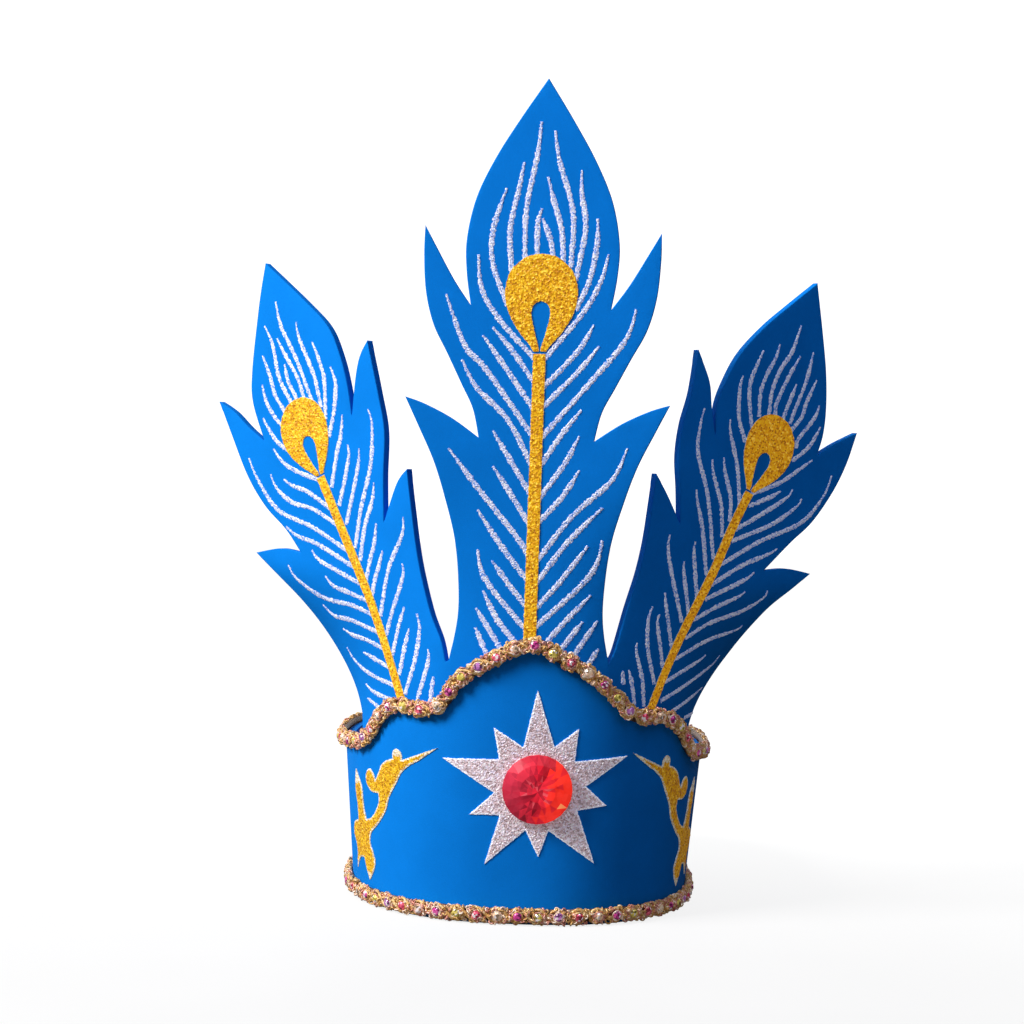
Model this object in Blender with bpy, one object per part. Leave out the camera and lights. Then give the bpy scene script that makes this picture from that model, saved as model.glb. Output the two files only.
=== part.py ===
"""Foam performance headdress.

A closed crown band of foam stands on its lower rim. A second foam sheet, cut as three
feathers on one foot, is fixed inside the front of the band and rises from it. A looped
metal braid set with small cut stones covers the band's shaped top edge, and a second one
its lower edge. A ten-pointed star with a large cut stone, two bird ornaments and three
feather quills are flat glitter pieces laid on the foam.

Units are metres, +Z is up and the front faces -Y. Flat pieces are drawn on the unrolled
sheet, with the distance along the head from the front centre as the first coordinate and
the height above the rim as the second, and are then bent round the head.
"""
from math import cos, hypot, pi, radians, sin, tan

import bmesh
import bpy
import numpy as np
from mathutils import Matrix, Vector

MM = 0.001

# Head opening and band
HALF_BREADTH = 77.0 * MM
HALF_LENGTH = 97.0 * MM
PLAN_POWER = 2.4
FLARE = tan(radians(5.0))
RING_PLACE = (-1.35 * MM, 7.7 * MM)
FOAM = 4.0 * MM
GAP = 0.3 * MM

# Depths behind the band's outer face, negative in front of it
PANEL_FRONT = FOAM + GAP
PANEL_BACK = PANEL_FRONT + FOAM
GLITTER = 0.5 * MM
QUILL_BACK = PANEL_FRONT - GAP
QUILL_FRONT = QUILL_BACK - GLITTER
PRINT_BACK = -GAP
PRINT_FRONT = PRINT_BACK - GLITTER

# Feather sheet: where its parts meet, where it flattens, where its foot ends
SEAM = 33.0 * MM
SEAM_TOP = 111.5 * MM
SIDE_HEADINGS = {1.0: radians(30.0), -1.0: radians(33.0)}
SIDE_FLATTENS = (80.0 * MM, 150.0 * MM)
CENTRE_FLATTENS = (112.0 * MM, 200.0 * MM)
FOOT_BOTTOM = 56.0 * MM
FOOT_END = 93.0 * MM
FOOT_END_TOP = 70.0 * MM
CENTRE_SHIFT = 1.0 * MM
SIDE_ROOT = (52.0 * MM, 92.0 * MM)
SIDE_LEAN = radians(24.5)
PARTING = (
    # height, distance from the front of the line between the centre and a side feather
    (SEAM_TOP, 190.0 * MM, 224.0 * MM), (SEAM, 43.0 * MM, 60.0 * MM),
)

# Lines along which the flat pieces are creased to follow the head
FRONT_STEP = 9.0 * MM
FRONT_REACH = 126.0 * MM
BACK_STEPS = 10
HEIGHT_STEP = 12.5 * MM
CREASE_REACH = CENTRE_FLATTENS[1] + 1.0 * MM
ON_LINE = 0.03 * MM

# Spacing of the points that stand for a smooth outline
FEATHER_SPACING = 8.0 * MM
BIRD_SPACING = 4.5 * MM
BAND_SPACING = 4.5
EYE_SPACING = 3.5

# Braids and their stones
BRAID_WIDTH = 8.0 * MM
BRAID_THICK = 4.2 * MM
BRAID_TOP_WIDTH = 5.2 * MM
BRAID_FOOT_WIDTH = 6.6 * MM
BRAID_SHOULDER = 0.45 * BRAID_THICK
STONE_PITCH = 8.6 * MM
STONE_SIDES = 8
STONE_FOOT_RADIUS = 2.4 * MM
STONE_TABLE_RADIUS = 1.25 * MM
STONE_SUNK = 0.9 * MM
STONE_PROUD = 1.1 * MM
LOWER_BRAID_HEIGHT = GAP + BRAID_WIDTH / 2
ROUTE_SAMPLES = 1201

# Star and its stone
STAR_CENTRE = (6.5 * MM, 59.7 * MM)
STONE_CENTRE = (6.3 * MM, 59.3 * MM)
PRINT_SHIFT = 5.5 * MM
GEM_FACETS = 16
GEM_RINGS = (
    # radius mm, height mm, turn as a share of one facet
    (14.2, 0.0, 0.0),
    (15.0, 1.2, 0.0),
    (12.2, 4.3, 0.5),
    (8.6, 6.0, 0.0),
)

# Quills
CENTRE_QUILL_FOOT = 123.2
CENTRE_EYE_FOOT = 244.5
SIDE_QUILL_FOOT = 3.0
SIDE_EYE_FOOT = 107.5
SIDE_SCALE = 0.87
QUILL_HALF = 2.65

BAND_TOP = (
    # along the head from the front mm, height of the band's top edge mm
    (-122, 68.5), (-102, 71.0), (-87, 71.5), (-77, 73.5), (-69, 78.0), (-63, 85.0), (-57, 90.2),
    (-50, 91.8), (-42, 91.0), (-36, 91.8), (-32, 95.0), (-27, 103.5), (-22, 108.3), (-8.5, 117.3),
    (0, 121.0), (6, 120.5), (13, 116.5), (24.5, 109.5), (33, 102.0), (41, 93.5), (46, 90.7),
    (55, 90.5), (62, 89.0), (68, 86.0), (75, 80.5), (81, 75.0), (88, 71.3), (98, 70.5), (122, 68.5),
)

CENTRE_EDGE = (
    # half width mm, height mm, corner
    (33.0, 111.5, True), (29.5, 131.0, False), (29.8, 148.2, False), (32.3, 165.3, False),
    (37.6, 182.5, False), (43.5, 198.3, False), (50.0, 212.0, False), (56.0, 224.3, True),
    (47.5, 221.5, False), (35.9, 215.8, False), (24.5, 208.0, True), (27.3, 220.0, False),
    (32.5, 230.5, False), (38.8, 243.0, False), (45.0, 255.0, False), (48.6, 268.7, False),
    (49.8, 284.3, False), (49.6, 296.2, True), (44.4, 287.0, False), (36.7, 273.7, False),
    (29.6, 263.6, True), (31.7, 277.0, False), (32.1, 291.0, False), (28.6, 308.2, False),
    (21.2, 324.7, False), (11.3, 341.3, False), (0.0, 358.5, True),
)

LEFT_EDGE = (
    # across mm, outward positive; along the feather mm; corner
    (-27.5, 19.5, False), (-28.0, 33.0, False), (-31.5, 54.0, False), (-38.0, 76.5, False),
    (-43.0, 92.0, True), (-35.0, 88.5, False), (-21.5, 76.0, True), (-30.0, 94.0, False),
    (-39.0, 111.5, False), (-43.0, 128.0, False), (-47.5, 150.5, True), (-40.5, 146.0, False),
    (-34.0, 138.0, False), (-25.5, 124.5, True), (-29.0, 137.0, False), (-31.0, 150.5, False),
    (-30.5, 164.5, False), (-24.0, 179.5, False), (-10.5, 205.0, True), (-3.0, 195.5, False),
    (4.5, 185.0, False), (17.5, 165.5, False), (23.5, 152.5, False), (25.0, 134.0, True),
    (30.5, 143.0, False), (35.5, 153.0, False), (41.5, 160.5, True), (41.5, 143.5, False),
    (41.0, 123.5, False), (37.5, 107.5, False), (31.0, 93.5, False), (27.5, 81.0, True),
    (37.5, 87.0, False), (51.5, 90.5, True), (44.5, 76.0, False), (39.0, 61.0, False),
    (36.5, 45.0, False), (37.0, 22.0, False), (39.5, 8.0, True),
)

RIGHT_EDGE = (
    # across mm, outward positive; along the feather mm; corner
    (-25.5, 17.5, False), (-29.0, 36.0, False), (-31.5, 52.0, False), (-35.0, 65.5, False),
    (-40.5, 81.0, False), (-45.0, 93.0, True), (-35.0, 87.5, False), (-23.0, 79.5, True),
    (-30.5, 92.0, False), (-38.5, 104.5, False), (-43.5, 117.5, False), (-46.5, 132.0, False),
    (-52.5, 149.0, True), (-40.5, 140.0, False), (-33.5, 130.5, False), (-25.5, 120.5, True),
    (-31.5, 132.0, False), (-33.0, 143.5, False), (-32.0, 158.0, False), (-26.5, 174.0, False),
    (-19.0, 189.0, False), (-11.0, 204.0, True), (4.0, 185.0, False), (14.0, 171.5, False),
    (22.0, 158.0, False), (26.5, 147.0, False), (28.0, 138.0, True), (34.5, 147.0, False),
    (43.0, 156.5, True), (45.0, 142.0, False), (44.5, 127.0, False), (41.0, 110.5, False),
    (35.0, 97.5, False), (28.0, 80.5, True), (39.0, 86.5, False), (52.0, 90.0, True),
    (46.5, 79.5, False), (41.0, 67.5, False), (39.0, 53.5, False), (40.0, 40.0, False),
    (42.0, 27.0, False), (44.5, 8.0, True),
)

LEFT_AXIS = (
    # along the feather mm, across mm of the quill's middle
    (0, 2.6), (22, 1.3), (40, 0.3), (55, 0.1), (80, 1.0), (107, 2.0), (125, 1.8), (144, 0.6),
)

RIGHT_AXIS = (
    # along the feather mm, across mm of the quill's middle
    (0, 4.2), (22, 2.8), (40, 2.5), (67, 3.4), (92, 2.4), (107, 2.9), (125, 2.8), (144, 1.6),
)

EYE_WIDTH = (
    # height above the eye's foot mm, half width mm, both of the centre feather
    (0.0, 2.5), (3.0, 4.4), (8.5, 9.0), (15.0, 13.0), (21.5, 15.0), (27.0, 15.2),
    (33.5, 13.4), (38.0, 9.4), (40.5, 5.4), (41.4, 0.0),
)

DROP_WIDTH = (
    # height above the eye's foot mm, half width mm of the open drop in the eye
    (1.8, 0.0), (6.0, 1.6), (11.0, 2.9), (15.5, 3.9), (18.7, 3.6), (20.9, 2.1), (21.6, 0.0),
)

STAR_EDGE = (
    # direction from the middle in degrees, distance mm: a tip and the notch after it
    (92.0, 42.0), (71.0, 18.7), (59.0, 29.9), (38.5, 18.5), (20.5, 39.1), (2.5, 19.6),
    (-15.0, 29.9), (-30.0, 19.0), (-52.5, 41.4), (-74.5, 19.2), (-87.5, 30.0), (-103.5, 19.0),
    (-122.0, 39.9), (-141.0, 19.7), (-155.5, 30.5), (-171.0, 18.1), (164.5, 40.5), (144.0, 20.0),
    (126.5, 31.3), (110.5, 18.4),
)

BIRD_EDGE = (
    # outward from the print's middle mm, height mm, corner
    (40.3, 74.6, True), (48.5, 71.0, False), (57.3, 67.3, True), (57.8, 70.4, False),
    (60.2, 72.0, False), (62.4, 70.2, False), (62.6, 67.3, True), (66.5, 66.0, False),
    (70.0, 63.5, False), (72.2, 60.0, False), (75.0, 55.8, True), (76.6, 59.0, False),
    (79.8, 60.6, False), (83.0, 57.8, False), (83.0, 54.0, False), (79.0, 50.8, False),
    (73.0, 50.8, True), (73.0, 46.5, False), (76.5, 41.5, False), (80.5, 38.4, False),
    (85.0, 37.2, True), (87.4, 43.0, False), (89.0, 51.5, False), (95.5, 58.2, True),
    (97.5, 50.0, False), (95.5, 42.5, False), (95.0, 35.5, True), (102.5, 33.0, False),
    (104.5, 28.0, False), (99.5, 22.5, False), (100.5, 13.0, True), (95.0, 18.5, False),
    (89.3, 19.5, True), (87.5, 15.5, False), (84.0, 10.3, True), (79.8, 15.0, False),
    (78.0, 19.5, False), (79.8, 23.5, False), (82.0, 27.5, False), (80.5, 32.0, False),
    (75.5, 35.8, False), (71.0, 40.0, False), (67.8, 44.3, False), (65.3, 50.3, False),
    (61.0, 56.5, False), (58.0, 61.5, False), (53.7, 65.3, False), (48.0, 68.8, False),
)


def plan_curve(samples=4000, kept=500):
    """Arc length, place and heading of the band's outer rim, from the front to the back."""
    turn = np.linspace(0.0, pi, samples + 1)
    across = np.abs(np.sin(turn)) ** (2 / PLAN_POWER)
    along = np.sign(np.cos(turn)) * np.abs(np.cos(turn)) ** (2 / PLAN_POWER)
    x = HALF_BREADTH * across
    y = -HALF_LENGTH * along
    arc = np.concatenate([[0.0], np.cumsum(np.hypot(np.diff(x), np.diff(y)))])
    even = np.linspace(0.0, arc[-1], kept)
    x = np.interp(even, arc, x)
    y = np.interp(even, arc, y)
    heading = np.unwrap(np.arctan2(np.gradient(y, even), np.gradient(x, even)))
    heading[0] = 0.0
    heading[-1] = pi
    return even, x, y, heading


ARC, ARC_X, ARC_Y, ARC_HEADING = plan_curve()
HALF_ROUND = float(ARC[-1])


def eased(value, span):
    """0 below the span, 1 above it, with a smooth change between."""
    share = min(1.0, max(0.0, (value - span[0]) / (span[1] - span[0])))
    return share * share * (3.0 - 2.0 * share)


def walk(start, end, bend):
    """Step along the sheet from start to end, where bend turns the rim's heading."""
    steps = max(2, int(abs(end - start) / MM) + 2)
    arc = np.linspace(start, end, steps)
    heading = bend(np.interp(arc, ARC, ARC_HEADING))
    middle = (heading[1:] + heading[:-1]) / 2
    length = np.diff(arc)
    return (
        float(np.sum(np.cos(middle) * length)),
        float(np.sum(np.sin(middle) * length)),
        float(heading[-1]),
    )


def in_side_feather(along, height):
    """Whether a place on the sheet lies past the line between the centre and a side."""
    return abs(along) > np.interp(height, *PARTING)


def on_head(along, height, depth, sheet="band"):
    """Place on the bent sheet of a point of the unrolled one."""
    side = 1.0 if along >= 0.0 else -1.0
    arc = abs(along)
    if sheet == "band":
        x = float(np.interp(arc, ARC, ARC_X))
        y = float(np.interp(arc, ARC, ARC_Y))
        heading = float(np.interp(arc, ARC, ARC_HEADING))
    elif in_side_feather(along, height):
        mix = 1.0 - eased(height, SIDE_FLATTENS)
        flat = SIDE_HEADINGS[side]
        dx, dy, heading = walk(SEAM, arc, lambda rim: flat + mix * (rim - flat))
        x = float(np.interp(SEAM, ARC, ARC_X)) + dx
        y = float(np.interp(SEAM, ARC, ARC_Y)) + dy
    else:
        mix = 1.0 - eased(height, CENTRE_FLATTENS)
        dx, dy, heading = walk(0.0, arc, lambda rim: mix * rim)
        x = dx
        y = dy - HALF_LENGTH
    out = FLARE * height - depth
    return Vector((
        RING_PLACE[0] + side * (x + sin(heading) * out),
        RING_PLACE[1] + y - cos(heading) * out,
        height,
    ))


def flowing(rows, spacing):
    """A line through the rows, smooth between those marked as corners."""
    points = [(row[0] * MM, row[1] * MM) for row in rows]
    corners = [i for i, row in enumerate(rows) if row[2]]
    line = []
    for first, last in zip(corners, corners[1:]):
        run = points[first:last + 1]
        line += smooth_run(run, spacing)[:-1]
    line.append(points[corners[-1]])
    return line


def smooth_run(run, spacing):
    """Catmull-Rom samples through a run of points."""
    padded = [run[0]] + run + [run[-1]]
    line = []
    for before, start, end, after in zip(padded, padded[1:], padded[2:], padded[3:]):
        count = max(1, round(hypot(end[0] - start[0], end[1] - start[1]) / spacing))
        for step in range(count):
            t = step / count
            line.append(tuple(
                0.5 * (2 * q + (r - p) * t + (2 * p - 5 * q + 4 * r - s) * t * t
                       + (3 * q - p - 3 * r + s) * t ** 3)
                for p, q, r, s in zip(before, start, end, after)
            ))
    line.append(run[-1])
    return line


def band_top_height(along):
    """Height of the band's top edge at a signed distance from the front."""
    along = min(max(along / MM, BAND_TOP[0][0]), BAND_TOP[-1][0])
    rows = (BAND_TOP[0],) + BAND_TOP + (BAND_TOP[-1],)
    for before, start, end, after in zip(rows, rows[1:], rows[2:], rows[3:]):
        if start[0] <= along <= end[0]:
            span = end[0] - start[0]
            t = (along - start[0]) / span
            slope_in = (end[1] - before[1]) / (end[0] - before[0]) * span
            slope_out = (after[1] - start[1]) / (after[0] - start[0]) * span
            if before is start:
                slope_in = 0.0
            if after is end:
                slope_out = 0.0
            return MM * (
                (2 * t ** 3 - 3 * t ** 2 + 1) * start[1] + (t ** 3 - 2 * t ** 2 + t) * slope_in
                + (3 * t ** 2 - 2 * t ** 3) * end[1] + (t ** 3 - t ** 2) * slope_out
            )


def crease_lines():
    """Distances along the head where the flat pieces are creased."""
    front = [i * FRONT_STEP for i in range(int(round(FRONT_REACH / FRONT_STEP)) + 1)]
    step = (HALF_ROUND - FRONT_REACH) / BACK_STEPS
    back = [FRONT_REACH + step * i for i in range(1, BACK_STEPS)]
    half = front + back
    return sorted([-line for line in half if line > 0.0] + half)


def flat_plate(loops):
    """A thin closed plate on the unrolled sheet, filled between its loops."""
    curve = bpy.data.curves.new("plate_outline", "CURVE")
    curve.dimensions = "2D"
    curve.fill_mode = "BOTH"
    curve.extrude = MM / 2
    for loop in loops:
        spline = curve.splines.new("POLY")
        spline.points.add(len(loop) - 1)
        for point, (along, height) in zip(spline.points, loop):
            point.co = (along, height, 0.0, 1.0)
        spline.use_cyclic_u = True
    outline = bpy.data.objects.new("plate_outline", curve)
    bpy.context.scene.collection.objects.link(outline)
    bpy.context.view_layer.update()
    graph = bpy.context.evaluated_depsgraph_get()
    mesh = bpy.data.meshes.new_from_object(outline.evaluated_get(graph))
    bpy.data.objects.remove(outline)
    bpy.data.curves.remove(curve)
    work = bmesh.new()
    work.from_mesh(mesh)
    bpy.data.meshes.remove(mesh)
    bmesh.ops.remove_doubles(work, verts=work.verts, dist=0.01 * MM)
    return work


def crease(work, lines, axis, wanted):
    """Cut the plate along lines of one coordinate, where its faces are wanted."""
    normal = Vector((1.0, 0.0, 0.0)) if axis == 0 else Vector((0.0, 1.0, 0.0))
    for line in lines:
        faces = [face for face in work.faces if wanted(face.calc_center_median())]
        edges = {edge for face in faces for edge in face.edges}
        verts = {vert for face in faces for vert in face.verts}
        bmesh.ops.bisect_plane(
            work, geom=list(verts) + list(edges) + faces, dist=0.02 * MM,
            plane_co=normal * line, plane_no=normal,
        )


def merge_between_creases(work, creases, levels):
    """Join the flat faces that lie between two creases into one."""
    for edge in work.edges:
        start, end = (vert.co for vert in edge.verts)
        edge.seam = any(
            abs(start[axis] - line) < ON_LINE and abs(end[axis] - line) < ON_LINE
            for axis, lines in ((0, creases), (1, levels)) for line in lines
        )
    bmesh.ops.dissolve_limit(
        work, angle_limit=radians(0.5), use_dissolve_boundaries=False,
        verts=work.verts, edges=work.edges, delimit={"SEAM"},
    )


def finish_mesh(name, work, material):
    """Turn a worked mesh into an object of its own."""
    bmesh.ops.triangulate(work, faces=work.faces)
    mesh = bpy.data.meshes.new(name)
    work.to_mesh(mesh)
    work.free()
    mesh.materials.append(material)
    body = bpy.data.objects.new(name, mesh)
    PARTS.objects.link(body)
    return body


def bent_plate(name, loops, front, back, material, sheet="band", ring=False):
    """A flat piece cut on the unrolled sheet, creased and bent round the head."""
    work = flat_plate(loops)
    levels = []
    if sheet == "feather":
        count = int((CENTRE_FLATTENS[1] - FOOT_BOTTOM) / HEIGHT_STEP)
        levels = [CENTRE_FLATTENS[1] - HEIGHT_STEP * i for i in range(count)]
        crease(work, levels, 1, lambda middle: True)
    crease(work, crease_lines(), 0, lambda middle: middle.y < CREASE_REACH)
    merge_between_creases(work, crease_lines(), levels)
    bmesh.ops.triangulate(work, faces=work.faces)
    if ring:
        ends = [
            face for face in work.faces
            if all(abs(abs(vert.co.x) - HALF_ROUND) < 0.01 * MM for vert in face.verts)
        ]
        bmesh.ops.delete(work, geom=ends, context="FACES")
    for vert in work.verts:
        depth = front if vert.co.z > 0.0 else back
        vert.co = on_head(vert.co.x, vert.co.y, depth, sheet)
    if ring:
        bmesh.ops.remove_doubles(work, verts=work.verts, dist=0.05 * MM)
    return finish_mesh(name, work, material)


def mirrored(loop):
    """The loop on the other side of the front centre."""
    return [(-along, height) for along, height in reversed(loop)]


def side_place(across, along):
    """A place of the right feather's own axes on the unrolled sheet."""
    return (
        SIDE_ROOT[0] + across * cos(SIDE_LEAN) + along * sin(SIDE_LEAN),
        SIDE_ROOT[1] - across * sin(SIDE_LEAN) + along * cos(SIDE_LEAN),
    )


def band_loop():
    """Outline of the band on the unrolled sheet."""
    reach = BAND_TOP[-1][0]
    half = [i * BAND_SPACING for i in range(1, int(reach / BAND_SPACING) + 1)] + [reach]
    places = [-HALF_ROUND] + [-p * MM for p in reversed(half)] + [0.0] + [p * MM for p in half]
    places.append(HALF_ROUND)
    top = [(place, band_top_height(place)) for place in places]
    return [(HALF_ROUND, 0.0)] + top[::-1] + [(-HALF_ROUND, 0.0)]


def side_feather_loop(edge):
    """A side feather and its half of the foot, from the V beside the centre feather."""
    dx, dz = SEAM - SIDE_ROOT[0], SEAM_TOP - SIDE_ROOT[1]
    start_across = dx * cos(SIDE_LEAN) - dz * sin(SIDE_LEAN)
    start_along = dx * sin(SIDE_LEAN) + dz * cos(SIDE_LEAN)
    rows = ((start_across / MM, start_along / MM, True),) + edge
    side = [side_place(*point) for point in flowing(rows, FEATHER_SPACING)]
    return side[1:] + [(FOOT_END, FOOT_END_TOP), (FOOT_END, FOOT_BOTTOM)]


def feather_sheet_loop():
    """Outline of the three feathers and their common foot on the unrolled sheet."""
    centre = flowing(CENTRE_EDGE, FEATHER_SPACING)
    centre_right = [(x + CENTRE_SHIFT * (z > SEAM_TOP), z) for x, z in centre[::-1]]
    centre_left = [(-x + CENTRE_SHIFT * (z > SEAM_TOP), z) for x, z in centre[:-1]]
    right = side_feather_loop(RIGHT_EDGE)
    left = side_feather_loop(LEFT_EDGE)
    return centre_left + centre_right + right + mirrored(left)


def axis_at(rows, along):
    """Middle line of a quill at a height."""
    return float(np.interp(along, [row[0] for row in rows], [row[1] for row in rows]))


def quill_loops(foot, eye_foot, scale, axis, place):
    """Outline of a quill with its eye, and the open drop in the eye."""
    shaft = [(foot, QUILL_HALF * scale), ((foot + eye_foot) / 2, QUILL_HALF * scale)]
    eye = smooth_run([(eye_foot + z * scale, w * scale) for z, w in EYE_WIDTH], EYE_SPACING)
    drop = smooth_run([(eye_foot + z * scale, w * scale) for z, w in DROP_WIDTH], EYE_SPACING)
    loops = []
    for rows in (shaft + eye, drop):
        right = [(axis(z) + w, z) for z, w in rows]
        left = [(axis(z) - w, z) for z, w in reversed(rows) if w > 0.0]
        loops.append([place(x * MM, z * MM) for x, z in right + left])
    return loops


def side_quill_loops(axis):
    """Loops of a side feather's quill, drawn as the right one."""
    return quill_loops(
        SIDE_QUILL_FOOT, SIDE_EYE_FOOT, SIDE_SCALE,
        lambda along: axis_at(axis, along), side_place,
    )


def star_loop():
    """Ten points, long and short in turn."""
    return [
        (STAR_CENTRE[0] + radius * MM * cos(radians(angle)),
         STAR_CENTRE[1] + radius * MM * sin(radians(angle)))
        for angle, radius in STAR_EDGE
    ]


def bird_loop(side):
    """Outline of a bird ornament, the right one for side 1 and the left one for -1."""
    closed = BIRD_EDGE + (BIRD_EDGE[0],)
    loop = flowing(closed, BIRD_SPACING)[:-1]
    return [(PRINT_SHIFT + side * out, height) for out, height in loop]


def braid_route(height_at):
    """Even stations round the head, each with its place, tangent, outward and width axes."""
    dense = np.linspace(-HALF_ROUND, HALF_ROUND, ROUTE_SAMPLES)
    line = [on_head(along, height_at(along), -GAP) for along in dense]
    run = [0.0]
    for start, end in zip(line, line[1:]):
        run.append(run[-1] + (end - start).length)
    count = round(run[-1] / STONE_PITCH)
    stations = []
    for i in range(2 * count):
        along = float(np.interp(run[-1] * i / (2 * count), run, dense))
        ahead = on_head(along + MM / 2, height_at(along + MM / 2), -GAP)
        behind = on_head(along - MM / 2, height_at(along - MM / 2), -GAP)
        tangent = (ahead - behind).normalized()
        heading = float(np.interp(abs(along), ARC, ARC_HEADING)) * (1.0 if along >= 0.0 else -1.0)
        out = Vector((sin(heading), -cos(heading), -FLARE)).normalized()
        wide = out.cross(tangent).normalized()
        out = tangent.cross(wide).normalized()
        stations.append((on_head(along, height_at(along), -GAP), tangent, out, wide))
    return stations


def braid_section():
    """Corners of the braid's section, across it and outward."""
    foot = BRAID_FOOT_WIDTH / 2
    side = BRAID_WIDTH / 2
    top = BRAID_TOP_WIDTH / 2
    return [
        (-foot, 0.0), (foot, 0.0), (side, BRAID_SHOULDER),
        (top, BRAID_THICK), (-top, BRAID_THICK), (-side, BRAID_SHOULDER),
    ]


def braid(name, height_at, material):
    """A braid swept round the head with a cut stone fused on at each pitch."""
    stations = braid_route(height_at)
    section = braid_section()
    work = bmesh.new()
    rings = []
    for place, tangent, out, wide in stations[1::2]:
        rings.append([work.verts.new(place + wide * across + out * away) for across, away in section])
    for ring, following in zip(rings, rings[1:] + rings[:1]):
        for i in range(len(section)):
            j = (i + 1) % len(section)
            work.faces.new((ring[i], ring[j], following[j], following[i]))
    bmesh.ops.recalc_face_normals(work, faces=work.faces)
    body = finish_mesh(name, work, material)

    stones = bmesh.new()
    for place, tangent, out, wide in stations[::2]:
        middle = place + out * (BRAID_THICK - STONE_SUNK + (STONE_SUNK + STONE_PROUD) / 2)
        frame = Matrix((tangent, wide, out)).transposed().to_4x4()
        bmesh.ops.create_cone(
            stones, cap_ends=True, segments=STONE_SIDES, radius1=STONE_FOOT_RADIUS,
            radius2=STONE_TABLE_RADIUS, depth=STONE_SUNK + STONE_PROUD,
            matrix=Matrix.Translation(middle) @ frame,
        )
    mesh = bpy.data.meshes.new(name + "_stones")
    stones.to_mesh(mesh)
    stones.free()
    tool = bpy.data.objects.new(name + "_stones", mesh)
    tool.hide_render = True
    tool.display_type = "WIRE"
    CUTTERS.objects.link(tool)
    join = body.modifiers.new("fuse_stones", "BOOLEAN")
    join.operation = "UNION"
    join.object = tool
    return body


def star_stone(material):
    """The large cut stone, flat at the back, as the hull of its facet rings."""
    work = bmesh.new()
    step = 2 * pi / GEM_FACETS
    for radius, height, turn in GEM_RINGS:
        for i in range(GEM_FACETS):
            angle = step * (i + turn)
            work.verts.new((radius * MM * cos(angle), radius * MM * sin(angle), height * MM))
    bmesh.ops.convex_hull(work, input=work.verts)
    place = on_head(STONE_CENTRE[0], STONE_CENTRE[1], PRINT_FRONT - GAP)
    heading = float(np.interp(STONE_CENTRE[0], ARC, ARC_HEADING))
    out = Vector((sin(heading), -cos(heading), -FLARE)).normalized()
    across = Vector((cos(heading), sin(heading), 0.0))
    up = out.cross(across).normalized()
    frame = Matrix((across, up, out)).transposed().to_4x4()
    work.transform(Matrix.Translation(place) @ frame)
    return finish_mesh("star_stone", work, material)


def surface(name, colour, roughness, metallic):
    """A plain material for one kind of piece."""
    material = bpy.data.materials.new(name)
    material.use_nodes = True
    shader = material.node_tree.nodes["Principled BSDF"]
    shader.inputs["Base Color"].default_value = (*colour, 1.0)
    shader.inputs["Roughness"].default_value = roughness
    shader.inputs["Metallic"].default_value = metallic
    return material


def new_collection(name):
    """A collection in the scene."""
    collection = bpy.data.collections.new(name)
    bpy.context.scene.collection.children.link(collection)
    return collection


def build():
    """Make every piece of the headdress."""
    foam = surface("blue_foam", (0.0, 0.16, 0.66), 0.8, 0.0)
    gold = surface("gold_glitter", (0.72, 0.42, 0.06), 0.4, 0.8)
    silver = surface("silver_glitter", (0.72, 0.66, 0.74), 0.4, 0.6)
    cord = surface("gold_braid", (0.62, 0.34, 0.14), 0.4, 0.8)
    red = surface("red_stone", (0.75, 0.01, 0.02), 0.08, 0.0)

    bent_plate("crown_band", [band_loop()], 0.0, FOAM, foam, ring=True)
    bent_plate("feather_panel", [feather_sheet_loop()], PANEL_FRONT, PANEL_BACK, foam, "feather")

    centre = quill_loops(
        CENTRE_QUILL_FOOT, CENTRE_EYE_FOOT, 1.0, lambda along: 0.0,
        lambda across, along: (across + CENTRE_SHIFT, along),
    )
    bent_plate("quill_centre", centre, QUILL_FRONT, QUILL_BACK, gold, "feather")
    right = side_quill_loops(RIGHT_AXIS)
    bent_plate("quill_right", right, QUILL_FRONT, QUILL_BACK, gold, "feather")
    left = [mirrored(loop) for loop in side_quill_loops(LEFT_AXIS)]
    bent_plate("quill_left", left, QUILL_FRONT, QUILL_BACK, gold, "feather")

    bent_plate("star", [star_loop()], PRINT_FRONT, PRINT_BACK, silver)
    bent_plate("bird_right", [bird_loop(1)], PRINT_FRONT, PRINT_BACK, gold)
    bent_plate("bird_left", [bird_loop(-1)], PRINT_FRONT, PRINT_BACK, gold)
    star_stone(red)
    braid("top_braid", band_top_height, cord)
    braid("bottom_braid", lambda along: LOWER_BRAID_HEIGHT, cord)


for old in list(bpy.data.objects):
    bpy.data.objects.remove(old)
PARTS = new_collection("performance_headdress")
CUTTERS = new_collection("cutters")
build()
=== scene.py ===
"""Looks of the foam performance headdress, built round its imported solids.

Flat pieces are drawn on the unrolled sheet, with the distance along the head from the
front centre as the first coordinate and the height above the rim as the second, and are
bent round the head by the same rules as the solids.
"""
from math import cos, hypot, pi, radians, sin, tan

import bpy
import numpy as np
from mathutils import Matrix, Vector
from mathutils.geometry import delaunay_2d_cdt


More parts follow.
